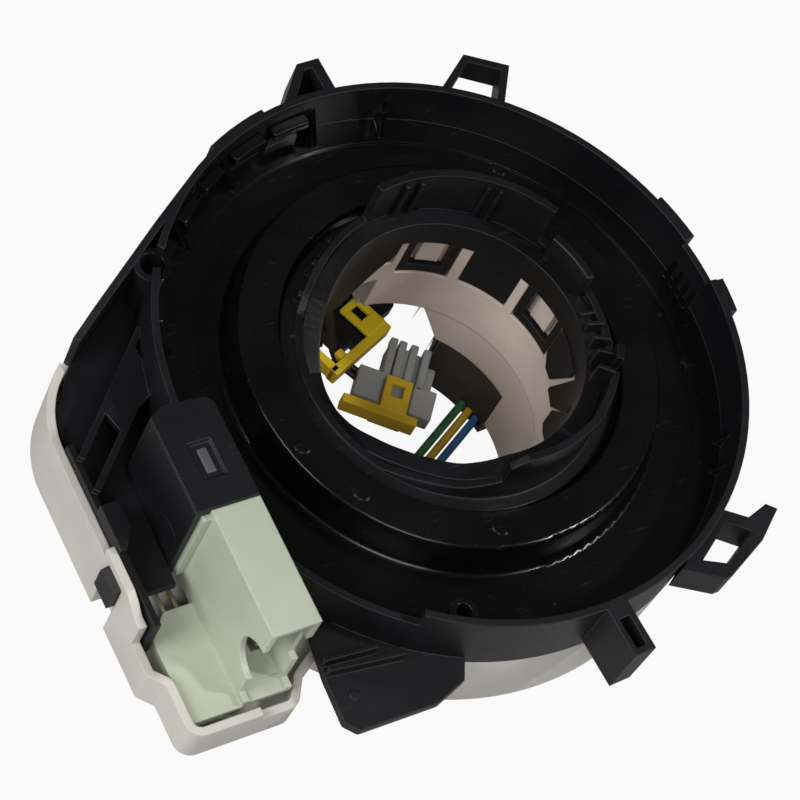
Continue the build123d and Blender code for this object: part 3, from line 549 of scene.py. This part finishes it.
@dataclass
class Studio:
    """Camera, floor and lamps."""

    eye: Point = (-0.2328842, -0.1655507, 0.4027366)
    turn: Point = (30.945963, -17.529652, -27.272221)
    lens: float = 125.07
    sensor: float = 36.0
    rest: float = -0.0281
    floor_side: float = 3.0
    floor_colour: Colour = tint(176, 176, 178)
    floor_seen: float = 0.94
    floor_mirrored: float = 0.12
    sky: tuple[float, float, float, float] = (0.93, 0.95, 1.0, 1.0)
    sky_strength: float = 0.09
    lamps: dict[str, tuple[Point, float, float]] = field(default_factory=lambda: {
        "key": ((-0.76, 0.02, 0.54), 0.46, 5.2),
        "front": ((-0.28, -0.50, 0.64), 0.34, 2.3),
        "glint": ((0.41, -0.30, 0.62), 0.06, 2.2),
    })

    def camera(self) -> None:
        """Makes the camera at the photograph's viewpoint."""
        data = bpy.data.cameras.new("camera")
        data.lens = self.lens
        data.sensor_width = self.sensor
        data.clip_start = 0.01
        made = bpy.data.objects.new("camera", data)
        made.location = self.eye
        made.rotation_euler = tuple(radians(angle) for angle in self.turn)
        bpy.context.scene.collection.objects.link(made)
        bpy.context.scene.camera = made

    def floor(self) -> None:
        """Makes the pale floor, which keeps the object's shadow."""
        shape = bmesh.new()
        bmesh.ops.create_grid(shape, x_segments=1, y_segments=1, size=self.floor_side / 2)
        bmesh.ops.translate(shape, verts=shape.verts, vec=(0, 0, self.rest))
        mesh = bpy.data.meshes.new("floor")
        shape.to_mesh(mesh)
        shape.free()
        made = Shader("floor_paint")
        paint = made.node("ShaderNodeBsdfDiffuse", None, {"Color": self.floor_colour})
        white = made.node("ShaderNodeEmission", None, {"Color": (1.0, 1.0, 1.0), "Strength": 1.0})
        ray = made.node("ShaderNodeLightPath")
        mirrored = made.wire(ray.outputs["Is Glossy Ray"]) * self.floor_mirrored
        seen = made.wire(ray.outputs["Is Camera Ray"]).most(mirrored).most(
            made.wire(ray.outputs["Is Transmission Ray"]))
        mixed = made.node("ShaderNodeMixShader", None,
                          {0: seen * self.floor_seen, 1: paint.outputs[0], 2: white.outputs[0]})
        end = made.node("ShaderNodeOutputMaterial")
        made.tree.links.new(mixed.outputs[0], end.inputs[0])
        mesh.materials.append(made.material)
        plane = bpy.data.objects.new("floor", mesh)
        bpy.context.scene.collection.objects.link(plane)

    def light(self) -> None:
        """Makes the lamps and the world."""
        world = bpy.data.worlds.new("world")
        world.use_nodes = True
        ground = world.node_tree.nodes["Background"]
        ground.inputs["Color"].default_value = self.sky
        ground.inputs["Strength"].default_value = self.sky_strength
        bpy.context.scene.world = world
        for name, (place, side, power) in self.lamps.items():
            data = bpy.data.lights.new(name, "AREA")
            data.size = side
            data.energy = power
            lamp = bpy.data.objects.new(name, data)
            lamp.location = place
            lamp.rotation_euler = (Vector(CENTRE) - Vector(place)).to_track_quat("-Z", "Y").to_euler()
            bpy.context.scene.collection.objects.link(lamp)

    def build(self) -> None:
        """Makes the whole studio."""
        self.camera()
        self.floor()
        self.light()
        bpy.context.scene.view_settings.view_transform = "Standard"


class LeadColour(Enum):
    """Switch leads in the order of their places, from the left of the way."""

    BLUE = ("switch_lead_blue", -1.9, "blue_lead")
    YELLOW = ("switch_lead_yellow", 0.0, "yellow_lead")
    GREEN = ("switch_lead_green", 1.9, "green_lead")


@dataclass
class Leads:
    """Switch leads as smooth cords, and the short igniter leads."""

    radius: float = 0.8
    lengths: dict[str, float] = field(default_factory=lambda: {
        "switch_lead_blue": 0.1032, "switch_lead_yellow": 0.0992, "switch_lead_green": 0.0953})
    route: tuple[Point, ...] = ((-7.561, 26.024, -3.9), (-7.561, 26.024, -15.0), (-5.2, 18.5, -26.0),
                                (-17.0, 10.0, -26.0), (-18.6, -3.0, -26.0), (-11.5, -13.0, -26.0),
                                (3.5, -5.0, -26.0), (23.6, 6.0, -26.0))

    def shifted(self, shift: float) -> list[Vector]:
        """Moves the middle route sideways, mitred at its corners.

        Args:
            shift: Distance to the left of the way, in millimetres.

        Returns:
            The moved route in metres.
        """
        points = [Vector(point) for point in self.route]
        moved = []
        for index, point in enumerate(points):
            ways = []
            for first, second in ((index - 1, index), (index, index + 1)):
                if first >= 0 and second < len(points):
                    way = (points[second] - points[first]).to_2d()
                    if way.length > 0.01:
                        ways.append(way.normalized())
            if not ways:
                ways.append((points[2] - points[1]).to_2d().normalized())
            total = ways[0] + ways[-1]
            normal = Vector((-total.y, total.x)) / (1 + ways[0].dot(ways[-1]))
            moved.append((point.x + normal.x * shift, point.y + normal.y * shift, point.z))
        return millimetres(moved)

    def cord(self, kind: LeadColour, material: bpy.types.Material) -> None:
        """Makes one switch lead.

        Args:
            kind: Which lead.
            material: Its insulation.
        """
        node, shift, slot = kind.value
        points = self.shifted(shift)
        data = bpy.data.curves.new(node + "_cord", "CURVE")
        data.dimensions = "3D"
        data.bevel_depth = self.radius * MM
        data.bevel_resolution = 6
        data.use_fill_caps = True
        spline = data.splines.new("NURBS")
        spline.points.add(len(points) - 1)
        for target, point in zip(spline.points, points):
            target.co = (*point, 1.0)
        spline.order_u = 3
        spline.use_endpoint_u = True
        spline.resolution_u = 12
        data.materials.append(material)
        made = bpy.data.objects.new(node + "_cord", data)
        bpy.context.scene.collection.objects.link(made)
        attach(made, Body.ROTOR.value)
        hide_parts(node)
        log.info("cord %s", node)

    def build(self, nodes: Nodes) -> None:
        """Makes and dresses every lead.

        Args:
            nodes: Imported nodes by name.
        """
        for kind, finish in zip(LeadColour, (LEAD_BLUE, LEAD_YELLOW, LEAD_GREEN)):
            self.cord(kind, finish.build())
        dress(LEAD_DARK.build(), nodes["black_squib_lead_a"], nodes["black_squib_lead_b"])
        dress(LEAD_BROWN.build(), nodes["grey_squib_lead_a"], nodes["grey_squib_lead_b"])


def turned(angle: float) -> Matrix:
    """Returns the turn about the bore axis by an angle in degrees."""
    return Matrix.Rotation(radians(angle), 3, "Z")


def slab(shape: Shape, points: Iterable[Sequence[float]], low: float, high: float) -> None:
    """Adds an upright prism on a plan outline.

    Args:
        shape: Shape to add to.
        points: Outline in millimetres.
        low: Lower height in millimetres.
        high: Upper height in millimetres.
    """
    face = shape.faces.new([shape.verts.new((x * MM, y * MM, low * MM)) for x, y in points])
    grown = bmesh.ops.extrude_face_region(shape, geom=[face])["geom"]
    top = [item for item in grown if isinstance(item, bmesh.types.BMVert)]
    bmesh.ops.translate(shape, verts=top, vec=(0, 0, (high - low) * MM))


def brick(shape: Shape, low: Point, high: Point) -> list[bmesh.types.BMVert]:
    """Adds a box between two corners.

    Args:
        shape: Shape to add to.
        low: Lowest corner in millimetres.
        high: Highest corner in millimetres.

    Returns:
        The box's vertices.
    """
    first, last = millimetres((low, high))
    place = Matrix.Translation((first + last) / 2) @ Matrix.Diagonal((*(last - first), 1.0))
    return bmesh.ops.create_cube(shape, size=1.0, matrix=place)["verts"]


def spokes(shape: Shape, angles: Iterable[Pair], low: Point,
           side: Pair) -> None:
    """Adds upright boxes that stand round the bore axis.

    Args:
        shape: Shape to add to.
        angles: Angle in degrees and top height in millimetres of each box.
        low: Lowest corner of a box at angle 0, in millimetres.
        side: Its far radius and the end of its width, in millimetres.
    """
    for angle, top in angles:
        made = brick(shape, low, (*side, top))
        bmesh.ops.rotate(shape, verts=made, cent=CENTRE, matrix=turned(angle))


def soften(shape: Shape, width: float, segments: int = 2, sharp: float = 25.0) -> None:
    """Bevels the sharp edges.

    Args:
        shape: Shape to bevel.
        width: Bevel width in millimetres.
        segments: Segments of the bevel.
        sharp: Least angle between two faces in degrees.
    """
    edges = [edge for edge in shape.edges if len(edge.link_faces) == 2
             and edge.calc_face_angle(0.0) > radians(sharp)]
    bmesh.ops.bevel(shape, geom=edges, offset=width * MM, offset_type="OFFSET", affect="EDGES",
                    segments=segments, profile=0.5, material=-1, clamp_overlap=True)


def swept(shape: Shape, profile: Sequence[Sequence[float]], start: float, end: float,
          steps: int) -> None:
    """Adds a closed profile turned about the bore axis.

    Args:
        shape: Shape to add to.
        profile: Points as (radius, height) in millimetres.
        start: First angle in degrees.
        end: Last angle in degrees; a full turn closes on itself.
        steps: Steps of the turn.
    """
    ring = [shape.verts.new((r * MM, 0, z * MM)) for r, z in profile]
    bmesh.ops.rotate(shape, verts=ring, cent=CENTRE, matrix=turned(start))
    full = end - start >= FULL_TURN
    if full:
        geometry = [shape.edges.new(pair) for pair in zip(ring, ring[1:] + ring[:1])]
    else:
        geometry = [shape.faces.new(ring)]
    bmesh.ops.spin(shape, geom=geometry, cent=CENTRE, axis=AXIS, angle=radians(end - start),
                   steps=steps, use_merge=full)


@dataclass(frozen=True)
class WallPlate:
    """Curved plate on a cylinder about the bore, trimmed by slanted lines.

    The span is the first and last angle in degrees and the lower and upper height. A line
    joins two (angle, height) points, and what lies on its right, seen from the axis, stays.
    """

    radius: float
    wall: float
    span: tuple[float, float, float, float]
    cuts: tuple[Line, ...] = ()
    step: float = 2.0

    def place(self, angle: float, height: float) -> Vector:
        """Returns a point of the cylinder in metres."""
        return Vector((self.radius * cos(radians(angle)), self.radius * sin(radians(angle)), height)) * MM

    def trim(self, shape: Shape) -> None:
        """Cuts the plate along its lines.

        Args:
            shape: The plate, still without thickness.
        """
        for first, last in self.cuts:
            start, end = self.place(*first), self.place(*last)
            middle = radians((first[0] + last[0]) / 2)
            outward = Vector((cos(middle), sin(middle), 0))
            bmesh.ops.bisect_plane(shape, geom=shape.verts[:] + shape.edges[:] + shape.faces[:],
                                   plane_co=start, plane_no=(end - start).cross(outward), clear_outer=True)

    def add(self, shape: Shape) -> None:
        """Adds the plate, with its thickness outwards.

        Args:
            shape: Shape to add to.
        """
        start, end, low, high = self.span
        plate = bmesh.new()
        ends = [plate.verts.new((self.radius * MM, 0, z * MM)) for z in (low, high)]
        edge = plate.edges.new(ends)
        bmesh.ops.rotate(plate, verts=ends, cent=CENTRE, matrix=turned(start))
        bmesh.ops.spin(plate, geom=[*ends, edge], cent=CENTRE, axis=AXIS, angle=radians(end - start),
                       steps=max(6, int(abs(end - start) / self.step)))
        self.trim(plate)
        bmesh.ops.recalc_face_normals(plate, faces=plate.faces)
        for face in plate.faces:
            if face.normal.dot(Vector((*face.calc_center_median().to_2d(), 0))) < 0:
                face.normal_flip()
        bmesh.ops.solidify(plate, geom=plate.faces[:], thickness=-self.wall * MM)
        mesh = bpy.data.meshes.new("plate")
        plate.to_mesh(mesh)
        plate.free()
        shape.from_mesh(mesh)
        bpy.data.meshes.remove(mesh)


def reshaped(node: bpy.types.Object, name: str, finish: Finish, move: Callable[[Vector], Point]) -> None:
    """Replaces a node by a merged copy with some vertices moved.

    Args:
        node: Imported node.
        name: Name of the copy.
        finish: Its material, body and slot.
        move: Function from a vertex place in millimetres to its new place.
    """
    shape = bmesh.new()
    shape.from_mesh(node.data)
    bmesh.ops.remove_doubles(shape, verts=shape.verts, dist=MERGE)
    for vertex in shape.verts:
        vertex.co = Vector(move(vertex.co / MM)) * MM
    put(name, shape, finish, node.name)


# How far the bore's near edge lies below its far edge: angle in degrees, drop in millimetres.
EDGE_DROP = ((108, 0.0), (124, 0.9), (140, 3.2), (155, 6.4), (168, 8.6), (176, 9.0), (186, 9.0), (196, 8.0),
             (207, 5.9), (220, 4.2), (232, 3.2), (245, 2.8), (257, 1.1), (263, 0.0))


def edge_drop(x: float, y: float) -> float:
    """Returns how far the bore's near edge lies below its far edge, in millimetres.

    Args:
        x: Place along X in any unit.
        y: Place along Y in the same unit.

    Returns:
        The drop at that angle about the bore axis.
    """
    angle = degrees(atan2(y, x)) % FULL_TURN
    for (first, high), (last, low) in zip(EDGE_DROP, EDGE_DROP[1:]):
        if first <= angle <= last:
            return high + (low - high) * (angle - first) / (last - first)
    return 0.0


@dataclass
class Stator:
    """Fixed half: housings, connector, terminal block, ribbon and rear slip sheet."""

    bridge_y: Pair = (-24.3, -13.7)
    bridge_window: Pair = (13.0, 10.4)
    bridge_top: Pair = (18.5, 12.5)
    bay_wall_x: float = -69.8
    catch_x: float = -70.3
    catch_top: float = 9.8
    panel: Outline = (
        (-69.6, -22.0), (-61.4, -22.0), (-60.6, 0.6), (-52.6, 0.6), (-52.0, 15.0), (-47.0, 26.4),
        (-42.2, 33.6), (-41.5, 36.2), (-61.5, 21.6), (-63.6, 19.0), (-68.3, 12.0), (-69.6, 4.0))
    panel_z: Pair = (7.0, 8.4)
    panel_edge: float = 0.25
    cap: Outline = ((-60.95, -0.2), (-57.8, 1.45), (-50.5, 0.75), (-49.45, -0.5), (-49.45, -18.25),
                    (-60.95, -18.25))
    cap_z: Pair = (25.98, 26.45)
    cap_edge: float = 0.16
    recess_x: Pair = (-57.3, -53.0)
    recess_y: Pair = (-13.2, -6.4)
    recess_rim: float = 0.3
    recess_depth: float = 0.4
    lug: tuple[Point, Point] = ((-56.1, -12.2, 25.6), (-54.3, -7.6, 26.3))
    lug_edge: float = 0.3
    plug_at: Point = (-60.62, -14.3, 12.0)
    plug_r: float = 3.44
    plug_wall: float = 0.8
    ledge_r: Pair = (50.4, 52.8)
    ledge_edge: float = 0.5
    ledges: tuple[tuple[float, float, float, float], ...] = (
        (93.5, 102.5, 15.2, 17.2), (104.5, 113.5, 15.0, 17.2), (117.0, 124.0, 15.4, 17.4),
        (126.0, 133.0, 15.0, 17.0), (137.0, 143.0, 14.2, 16.2), (146.0, 156.0, 14.0, 15.8))

    def lowered_bridge(self, place: Vector) -> Point:
        """Brings the snap bridge down to the height that the photograph shows.

        Args:
            place: Vertex place in millimetres.

        Returns:
            Its new place.
        """
        x, y, z = place
        low, high = self.bridge_window
        if x < self.bay_wall_x and self.bridge_y[0] < y < self.bridge_y[1] and z > low - NEAR:
            share = (z - low) / (self.bridge_top[0] - low)
            z = high + share * (self.bridge_top[1] - high)
        return (x, y, z)

    def lowered_catch(self, place: Vector) -> Point:
        """Brings the catch's outer end below the bridge.

        Args:
            place: Vertex place in millimetres.

        Returns:
            Its new place.
        """
        x, y, z = place
        if x < self.catch_x and self.bridge_y[0] < y < self.bridge_y[1]:
            z = min(z, self.catch_top)
        return (x, y, z)

    def cover_panel(self, black: Finish) -> None:
        """Makes the flat cover between the ring, the box and the bay's long wall.

        Args:
            black: The housing's finish.
        """
        shape = bmesh.new()
        slab(shape, self.panel, *self.panel_z)
        soften(shape, self.panel_edge)
        piece("bay_cover_panel", shape, black)

    def in_recess(self, face: bmesh.types.BMFace) -> bool:
        """Tells the recess's faces from the rest of the cap's.

        Args:
            face: Face of the cap.

        Returns:
            Whether the face is on top and inside the recess.
        """
        x, y, z = face.calc_center_median() / MM
        return (self.recess_x[0] < x < self.recess_x[1] and self.recess_y[0] < y < self.recess_y[1]
                and z > sum(self.cap_z) / 2)

    def box_cap(self, black: Finish) -> None:
        """Makes the box's softened top with its recess.

        Args:
            black: The housing's finish.
        """
        shape = bmesh.new()
        slab(shape, self.cap, *self.cap_z)
        for way, places in ((Vector((1, 0, 0)), self.recess_x), (Vector((0, 1, 0)), self.recess_y)):
            for place in places:
                bmesh.ops.bisect_plane(shape, geom=shape.verts[:] + shape.edges[:] + shape.faces[:],
                                       plane_co=way * place * MM, plane_no=way)
        floor = [face for face in shape.faces if abs(face.normal.z) > 0.5 and self.in_recess(face)]
        bmesh.ops.inset_region(shape, faces=floor, thickness=self.recess_rim * MM, depth=0.0)
        sunk = {vertex for face in floor for vertex in face.verts}
        bmesh.ops.translate(shape, verts=list(sunk), vec=(0, 0, -self.recess_depth * MM))
        soften(shape, self.cap_edge, 2, 40)
        piece("box_cap", shape, black)

    def box_lug(self, grey: Finish) -> None:
        """Makes the lug in the box's recess.

        Args:
            grey: Its finish.
        """
        shape = bmesh.new()
        brick(shape, *self.lug)
        soften(shape, self.lug_edge, 3)
        piece("box_lug", shape, grey)

    def side_plug(self, black: Finish) -> None:
        """Makes the disc that closes the round hole in the box's side.

        Args:
            black: The housing's finish.
        """
        shape = bmesh.new()
        place = Matrix.Translation(Vector(self.plug_at) * MM) @ Matrix.Rotation(radians(90), 4, "Y")
        bmesh.ops.create_cone(shape, cap_ends=True, cap_tris=False, segments=64, radius1=self.plug_r * MM,
                              radius2=self.plug_r * MM, depth=self.plug_wall * MM, matrix=place)
        piece("box_side_plug", shape, black)

    def rim_ledges(self, black: Finish) -> None:
        """Makes the thick rounded ledges inside the rim's far left side.

        Args:
            black: The housing's finish.
        """
        shape = bmesh.new()
        inner, outer = self.ledge_r
        for start, end, low, high in self.ledges:
            swept(shape, ((outer, low), (inner, low), (inner, high), (outer, high)), start, end, 10)
        soften(shape, self.ledge_edge, 3, 40)
        piece("rim_ledges", shape, black)

    def build(self, nodes: Nodes) -> None:
        """Dresses the stator and adds its fine pieces.

        Args:
            nodes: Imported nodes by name.
        """
        black = Finish(BLACK.build(), Body.STATOR, "black_plastic")
        cream = Finish(CREAM.build(), Body.STATOR, "light_plastic")
        reshaped(nodes["rear_housing"], "rear_housing_shell", black, self.lowered_catch)
        reshaped(nodes["front_housing"], "front_housing_shell", cream, self.lowered_bridge)
        self.cover_panel(black)
        self.box_cap(black)
        self.box_lug(Finish(LUG_GREY.build(), Body.STATOR, "grey_plastic"))
        self.side_plug(black)
        self.rim_ledges(black)
        dress(PALE_GREEN.build(), nodes["main_connector"])
        dress(CONTACT.build(), nodes["connector_pins_upper"], nodes["connector_pins_lower"],
              nodes["switch_pins"])
        dress(CONNECTOR_BLACK.build(), nodes["stator_terminal_block"], nodes["rotor_terminal_block"])
        dress(RIBBON.build(), nodes["ribbon_cable"])
        dress(SLIP.build(), nodes["slip_sheet_rear"], nodes["slip_sheet_front"])
        log.info("stator dressed")


@dataclass
class Rotor:
    """Turning half: tube, sleeve and switch socket."""

    inner: float = 23.04
    bore: float = 23.46
    tube_top: float = 20.5
    squeeze_from: float = 4.0
    flange_top: float = 15.9
    wall_left: float = 0.06
    wall_drop: float = 5.0
    collar_low: float = 15.8
    collar_top: float = 21.9
    wall_in: float = 26.36
    seat: float = 0.05
    collar_edge: float = 0.25
    skirt_edge: float = 0.14
    skirts: tuple[WallPlate, ...] = (
        WallPlate(22.69, 0.72, (-25.5, -3.6, 5.8, 16.2),
                  (((-26.0, 14.6), (-14.5, 5.9)), ((-8.5, 5.8), (-3.0, 9.0)))),
        WallPlate(23.04, 0.42, (-42.5, -16.5, 3.6, 16.2),
                  (((-16.2, 4.4), (-27.0, 14.2)), ((-43.0, 13.0), (-25.0, 3.4)))),
        WallPlate(23.04, 0.42, (-75.0, -28.0, -0.4, 16.2),
                  (((-27.4, 4.0), (-44.0, 14.2)), ((-60.0, 7.0), (-33.0, -0.5)))))
    left_plate: WallPlate = WallPlate(23.04, 0.42, (84.0, 174.0, -1.0, 16.0),
                                      (((84.0, 12.6), (103.5, -1.0)),))
    lug_plate: WallPlate = WallPlate(24.9, 1.7, (2.6, 25.4, 18.6, 28.0))
    lug_edge: float = 0.5
    fin_low: Point = (23.4, -0.45, 17.0)
    fin_side: Pair = (26.6, 0.45)
    fin_edge: float = 0.22
    fins: tuple[Pair, ...] = ((-6.0, 23.0), (-13.0, 24.5), (-21.0, 25.5), (-29.5, 27.0),
                                             (-39.0, 28.0))
    rib_low: Point = (25.6, -0.4, 20.0)
    rib_side: Pair = (26.8, 0.4)
    rib_edge: float = 0.2
    ribs: tuple[Pair, ...] = ((52.0, 31.0), (57.0, 31.0), (84.0, 31.0), (90.5, 31.0))

    def lowered_tube(self, place: Vector) -> Point:
        """Brings the tube's near edge down to the height that the photograph shows.

        Args:
            place: Vertex place in millimetres.

        Returns:
            Its new place.
        """
        x, y, z = place
        if hypot(x, y) < self.wall_in + NEAR and z > self.squeeze_from:
            z -= edge_drop(x, y) * (z - self.squeeze_from) / (self.tube_top - self.squeeze_from)
        return (x, y, z)

    def lowered_wall(self, place: Vector) -> Point:
        """Brings the sleeve's near wall down with the tube, as far as the flange.

        Args:
            place: Vertex place in millimetres.

        Returns:
            Its new place.
        """
        x, y, z = place
        if z > self.flange_top + TOUCH:
            share = max(self.wall_left, 1 - edge_drop(x, y) / self.wall_drop)
            z = self.flange_top + (z - self.flange_top) * share
        return (x, y, z)

    def collar(self, black: Finish) -> None:
        """Makes the sleeve's lip over the tube's top and its lining in the bore.

        Args:
            black: The sleeve's finish.
        """
        shape = bmesh.new()
        seat = self.tube_top + self.seat
        swept(shape, ((self.inner, self.collar_low), (self.bore, self.collar_low), (self.bore, seat),
                      (self.wall_in, seat), (self.wall_in, self.collar_top), (self.inner, self.collar_top)),
              0, FULL_TURN, 120)
        bmesh.ops.remove_doubles(shape, verts=shape.verts, dist=MERGE)
        soften(shape, self.collar_edge, 2, 40)
        for vertex in shape.verts:
            vertex.co.z -= edge_drop(vertex.co.x, vertex.co.y) * MM
        piece("sleeve_collar", shape, black)

    def side_skirt(self, black: Finish) -> None:
        """Makes the finger and the slanted skirts that hang in the bore's right side.

        Args:
            black: The sleeve's finish.
        """
        shape = bmesh.new()
        for plate in self.skirts:
            plate.add(shape)
        bmesh.ops.remove_doubles(shape, verts=shape.verts, dist=MERGE)
        soften(shape, self.skirt_edge, 2, 50)
        piece("sleeve_side_skirt", shape, black)

    def left_skirt(self, black: Finish) -> None:
        """Makes the slanted skirt that covers the bore's left side and follows its lowered edge.

        Args:
            black: The sleeve's finish.
        """
        shape = bmesh.new()
        self.left_plate.add(shape)
        soften(shape, self.skirt_edge, 2, 50)
        low, high = self.left_plate.span[2:]
        for vertex in shape.verts:
            share = max(0.0, vertex.co.z / MM - low) / (high - low)
            vertex.co.z -= edge_drop(vertex.co.x, vertex.co.y) * share * MM
        piece("sleeve_left_skirt", shape, black)

    def lug(self, black: Finish) -> None:
        """Makes the square raised lug and the fins beside it.

        Args:
            black: The sleeve's finish.
        """
        shape = bmesh.new()
        self.lug_plate.add(shape)
        soften(shape, self.lug_edge, 3, 50)
        piece("sleeve_square_lug", shape, black)
        fins = bmesh.new()
        spokes(fins, self.fins, self.fin_low, self.fin_side)
        soften(fins, self.fin_edge, 2, 50)
        piece("sleeve_fins", fins, black)

    def shield_ribs(self, black: Finish) -> None:
        """Makes the ribs on the shield's inner face.

        Args:
            black: The sleeve's finish.
        """
        shape = bmesh.new()
        spokes(shape, self.ribs, self.rib_low, self.rib_side)
        soften(shape, self.rib_edge, 2, 50)
        piece("shield_ribs", shape, black)

    def build(self, nodes: Nodes) -> None:
        """Dresses the rotor and adds the sleeve's fine pieces.

        Args:
            nodes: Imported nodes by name.
        """
        black = Finish(SLEEVE_BLACK.build(), Body.ROTOR, "black_plastic")
        tube = Finish(TUBE.build(), Body.ROTOR, "light_plastic")
        reshaped(nodes["rotor"], "rotor_tube", tube, self.lowered_tube)
        reshaped(nodes["retaining_sleeve"], "sleeve_shell", black, self.lowered_wall)
        dress(BROWN.build(), nodes["switch_socket"])
        for make in (self.collar, self.side_skirt, self.left_skirt, self.lug, self.shield_ribs):
            make(black)
        log.info("rotor dressed")


@dataclass
class Igniter:
    """One igniter connector with its lock, in a frame whose X runs to the plug end.

    Its place is the node's X, Y and heading. The strip runs along Y behind the clip, and the
    hook reaches to an X of its own, where 0 leaves it out.
    """

    name: str
    at: Point
    plug_end: float
    strip: Pair
    hook: float
    top: float = -17.0
    wing_low: float = -20.6
    low: float = -23.0
    strip_low: float = -19.6
    wings: tuple[Line, ...] = (((-3.0, 3.0), (3.6, 7.9)), ((-3.2, -7.5), (3.2, -3.0)))
    ribs: tuple[float, ...] = (-3.9, -1.3, 1.0, 2.8)
    rib_x: float = 2.4
    rib_half: float = 0.75
    rib_low: float = -19.2
    clip: tuple[Line, ...] = (((-4.6, -2.6), (-1.5, 2.6)), ((1.3, -2.6), (2.8, 2.6)),
                              ((-1.6, -2.6), (1.4, -1.1)), ((-1.6, 1.1), (1.4, 2.6)))
    clip_rise: float = 1.1
    body_edge: float = 0.28
    lock_edge: float = 0.24

    def place(self, shape: Shape) -> None:
        """Moves a shape from the connector's frame to its place.

        Args:
            shape: Shape to move.
        """
        x, y, heading = self.at
        matrix = Matrix.Translation(Vector((x, y, 0)) * MM) @ Matrix.Rotation(radians(heading), 4, "Z")
        bmesh.ops.transform(shape, matrix=matrix, verts=shape.verts)

    def body(self, finish: Finish) -> None:
        """Makes the winged body with its ribs.

        Args:
            finish: Its finish.
        """
        shape = bmesh.new()
        end, top = self.plug_end, self.top
        for low, high in self.wings:
            brick(shape, (*low, self.wing_low), (*high, top))
        brick(shape, (-4.2, -3.2, self.low), (3.0, 3.2, top - 0.6))
        brick(shape, (2.6, -4.6, self.low), (end - 0.6, 3.4, top - 2.0))
        brick(shape, (2.8, -6.4, self.low + 0.8), (end - 3.0, -4.4, top - 1.4))
        for side in self.ribs:
            brick(shape, (self.rib_x, side - self.rib_half, self.rib_low), (end, side + self.rib_half, top))
        brick(shape, (self.rib_x, -0.6, self.rib_low), (end - 1.2, 0.4, top - 0.7))
        self.place(shape)
        soften(shape, self.body_edge, 2, 50)
        piece(self.name + "_shell", shape, finish, self.name + "_body")

    def lock(self, finish: Finish) -> None:
        """Makes the yellow clip with its window, the strip behind it and its hook.

        Args:
            finish: Its finish.
        """
        shape = bmesh.new()
        for low, high in self.clip:
            brick(shape, (*low, self.top), (*high, self.top + self.clip_rise))
        first, last = self.strip
        brick(shape, (-6.2, first, self.strip_low), (-4.3, last, self.top + 0.9))
        brick(shape, (-5.8, first + 0.8, self.strip_low - 0.5), (-4.5, last - 0.8, self.strip_low + 0.2))
        if self.hook:
            brick(shape, (-5.6, last - 1.7, self.strip_low + 0.4), (self.hook, last, self.top + 0.9))
            brick(shape, (-4.6, last - 5.2, self.strip_low + 0.4), (-2.6, last - 3.4, self.top + 0.7))
        self.place(shape)
        soften(shape, self.lock_edge, 2, 50)
        piece(self.name + "_clip", shape, finish, self.name + "_lock")


@dataclass
class Igniters:
    """The two igniter connectors with their yellow locks."""

    grey: Igniter = field(default_factory=lambda: Igniter(
        "grey_squib", (5.9, 9.8, 50.0), 11.8, (-5.0, 9.6), 0.0))
    black: Igniter = field(default_factory=lambda: Igniter(
        "black_squib", (6.4, 27.3, 113.0), 8.4, (-2.6, 13.8), 0.8))

    def build(self) -> None:
        """Makes the connectors in place of their nodes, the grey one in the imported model's grey."""
        yellow = Finish(YELLOW.build(), Body.ROTOR, "yellow_plastic")
        packed_grey = bpy.data.materials["grey_plastic"]
        self.grey.body(Finish(packed_grey, Body.ROTOR, "grey_plastic"))
        self.grey.lock(yellow)
        shared = bpy.data.materials[CONNECTOR_BLACK.name]
        self.black.body(Finish(shared, Body.ROTOR, "black_plastic"))
        self.black.lock(yellow)
        log.info("igniters dressed")


def main() -> None:
    """Builds the scene in order."""
    logging.basicConfig(level=logging.INFO, format="%(name)s: %(message)s")
    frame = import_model()
    nodes = frame["nodes"]
    Studio().build()
    Leads().build(nodes)
    Stator().build(nodes)
    Rotor().build(nodes)
    Igniters().build()


if __name__ == "__main__":
    main()
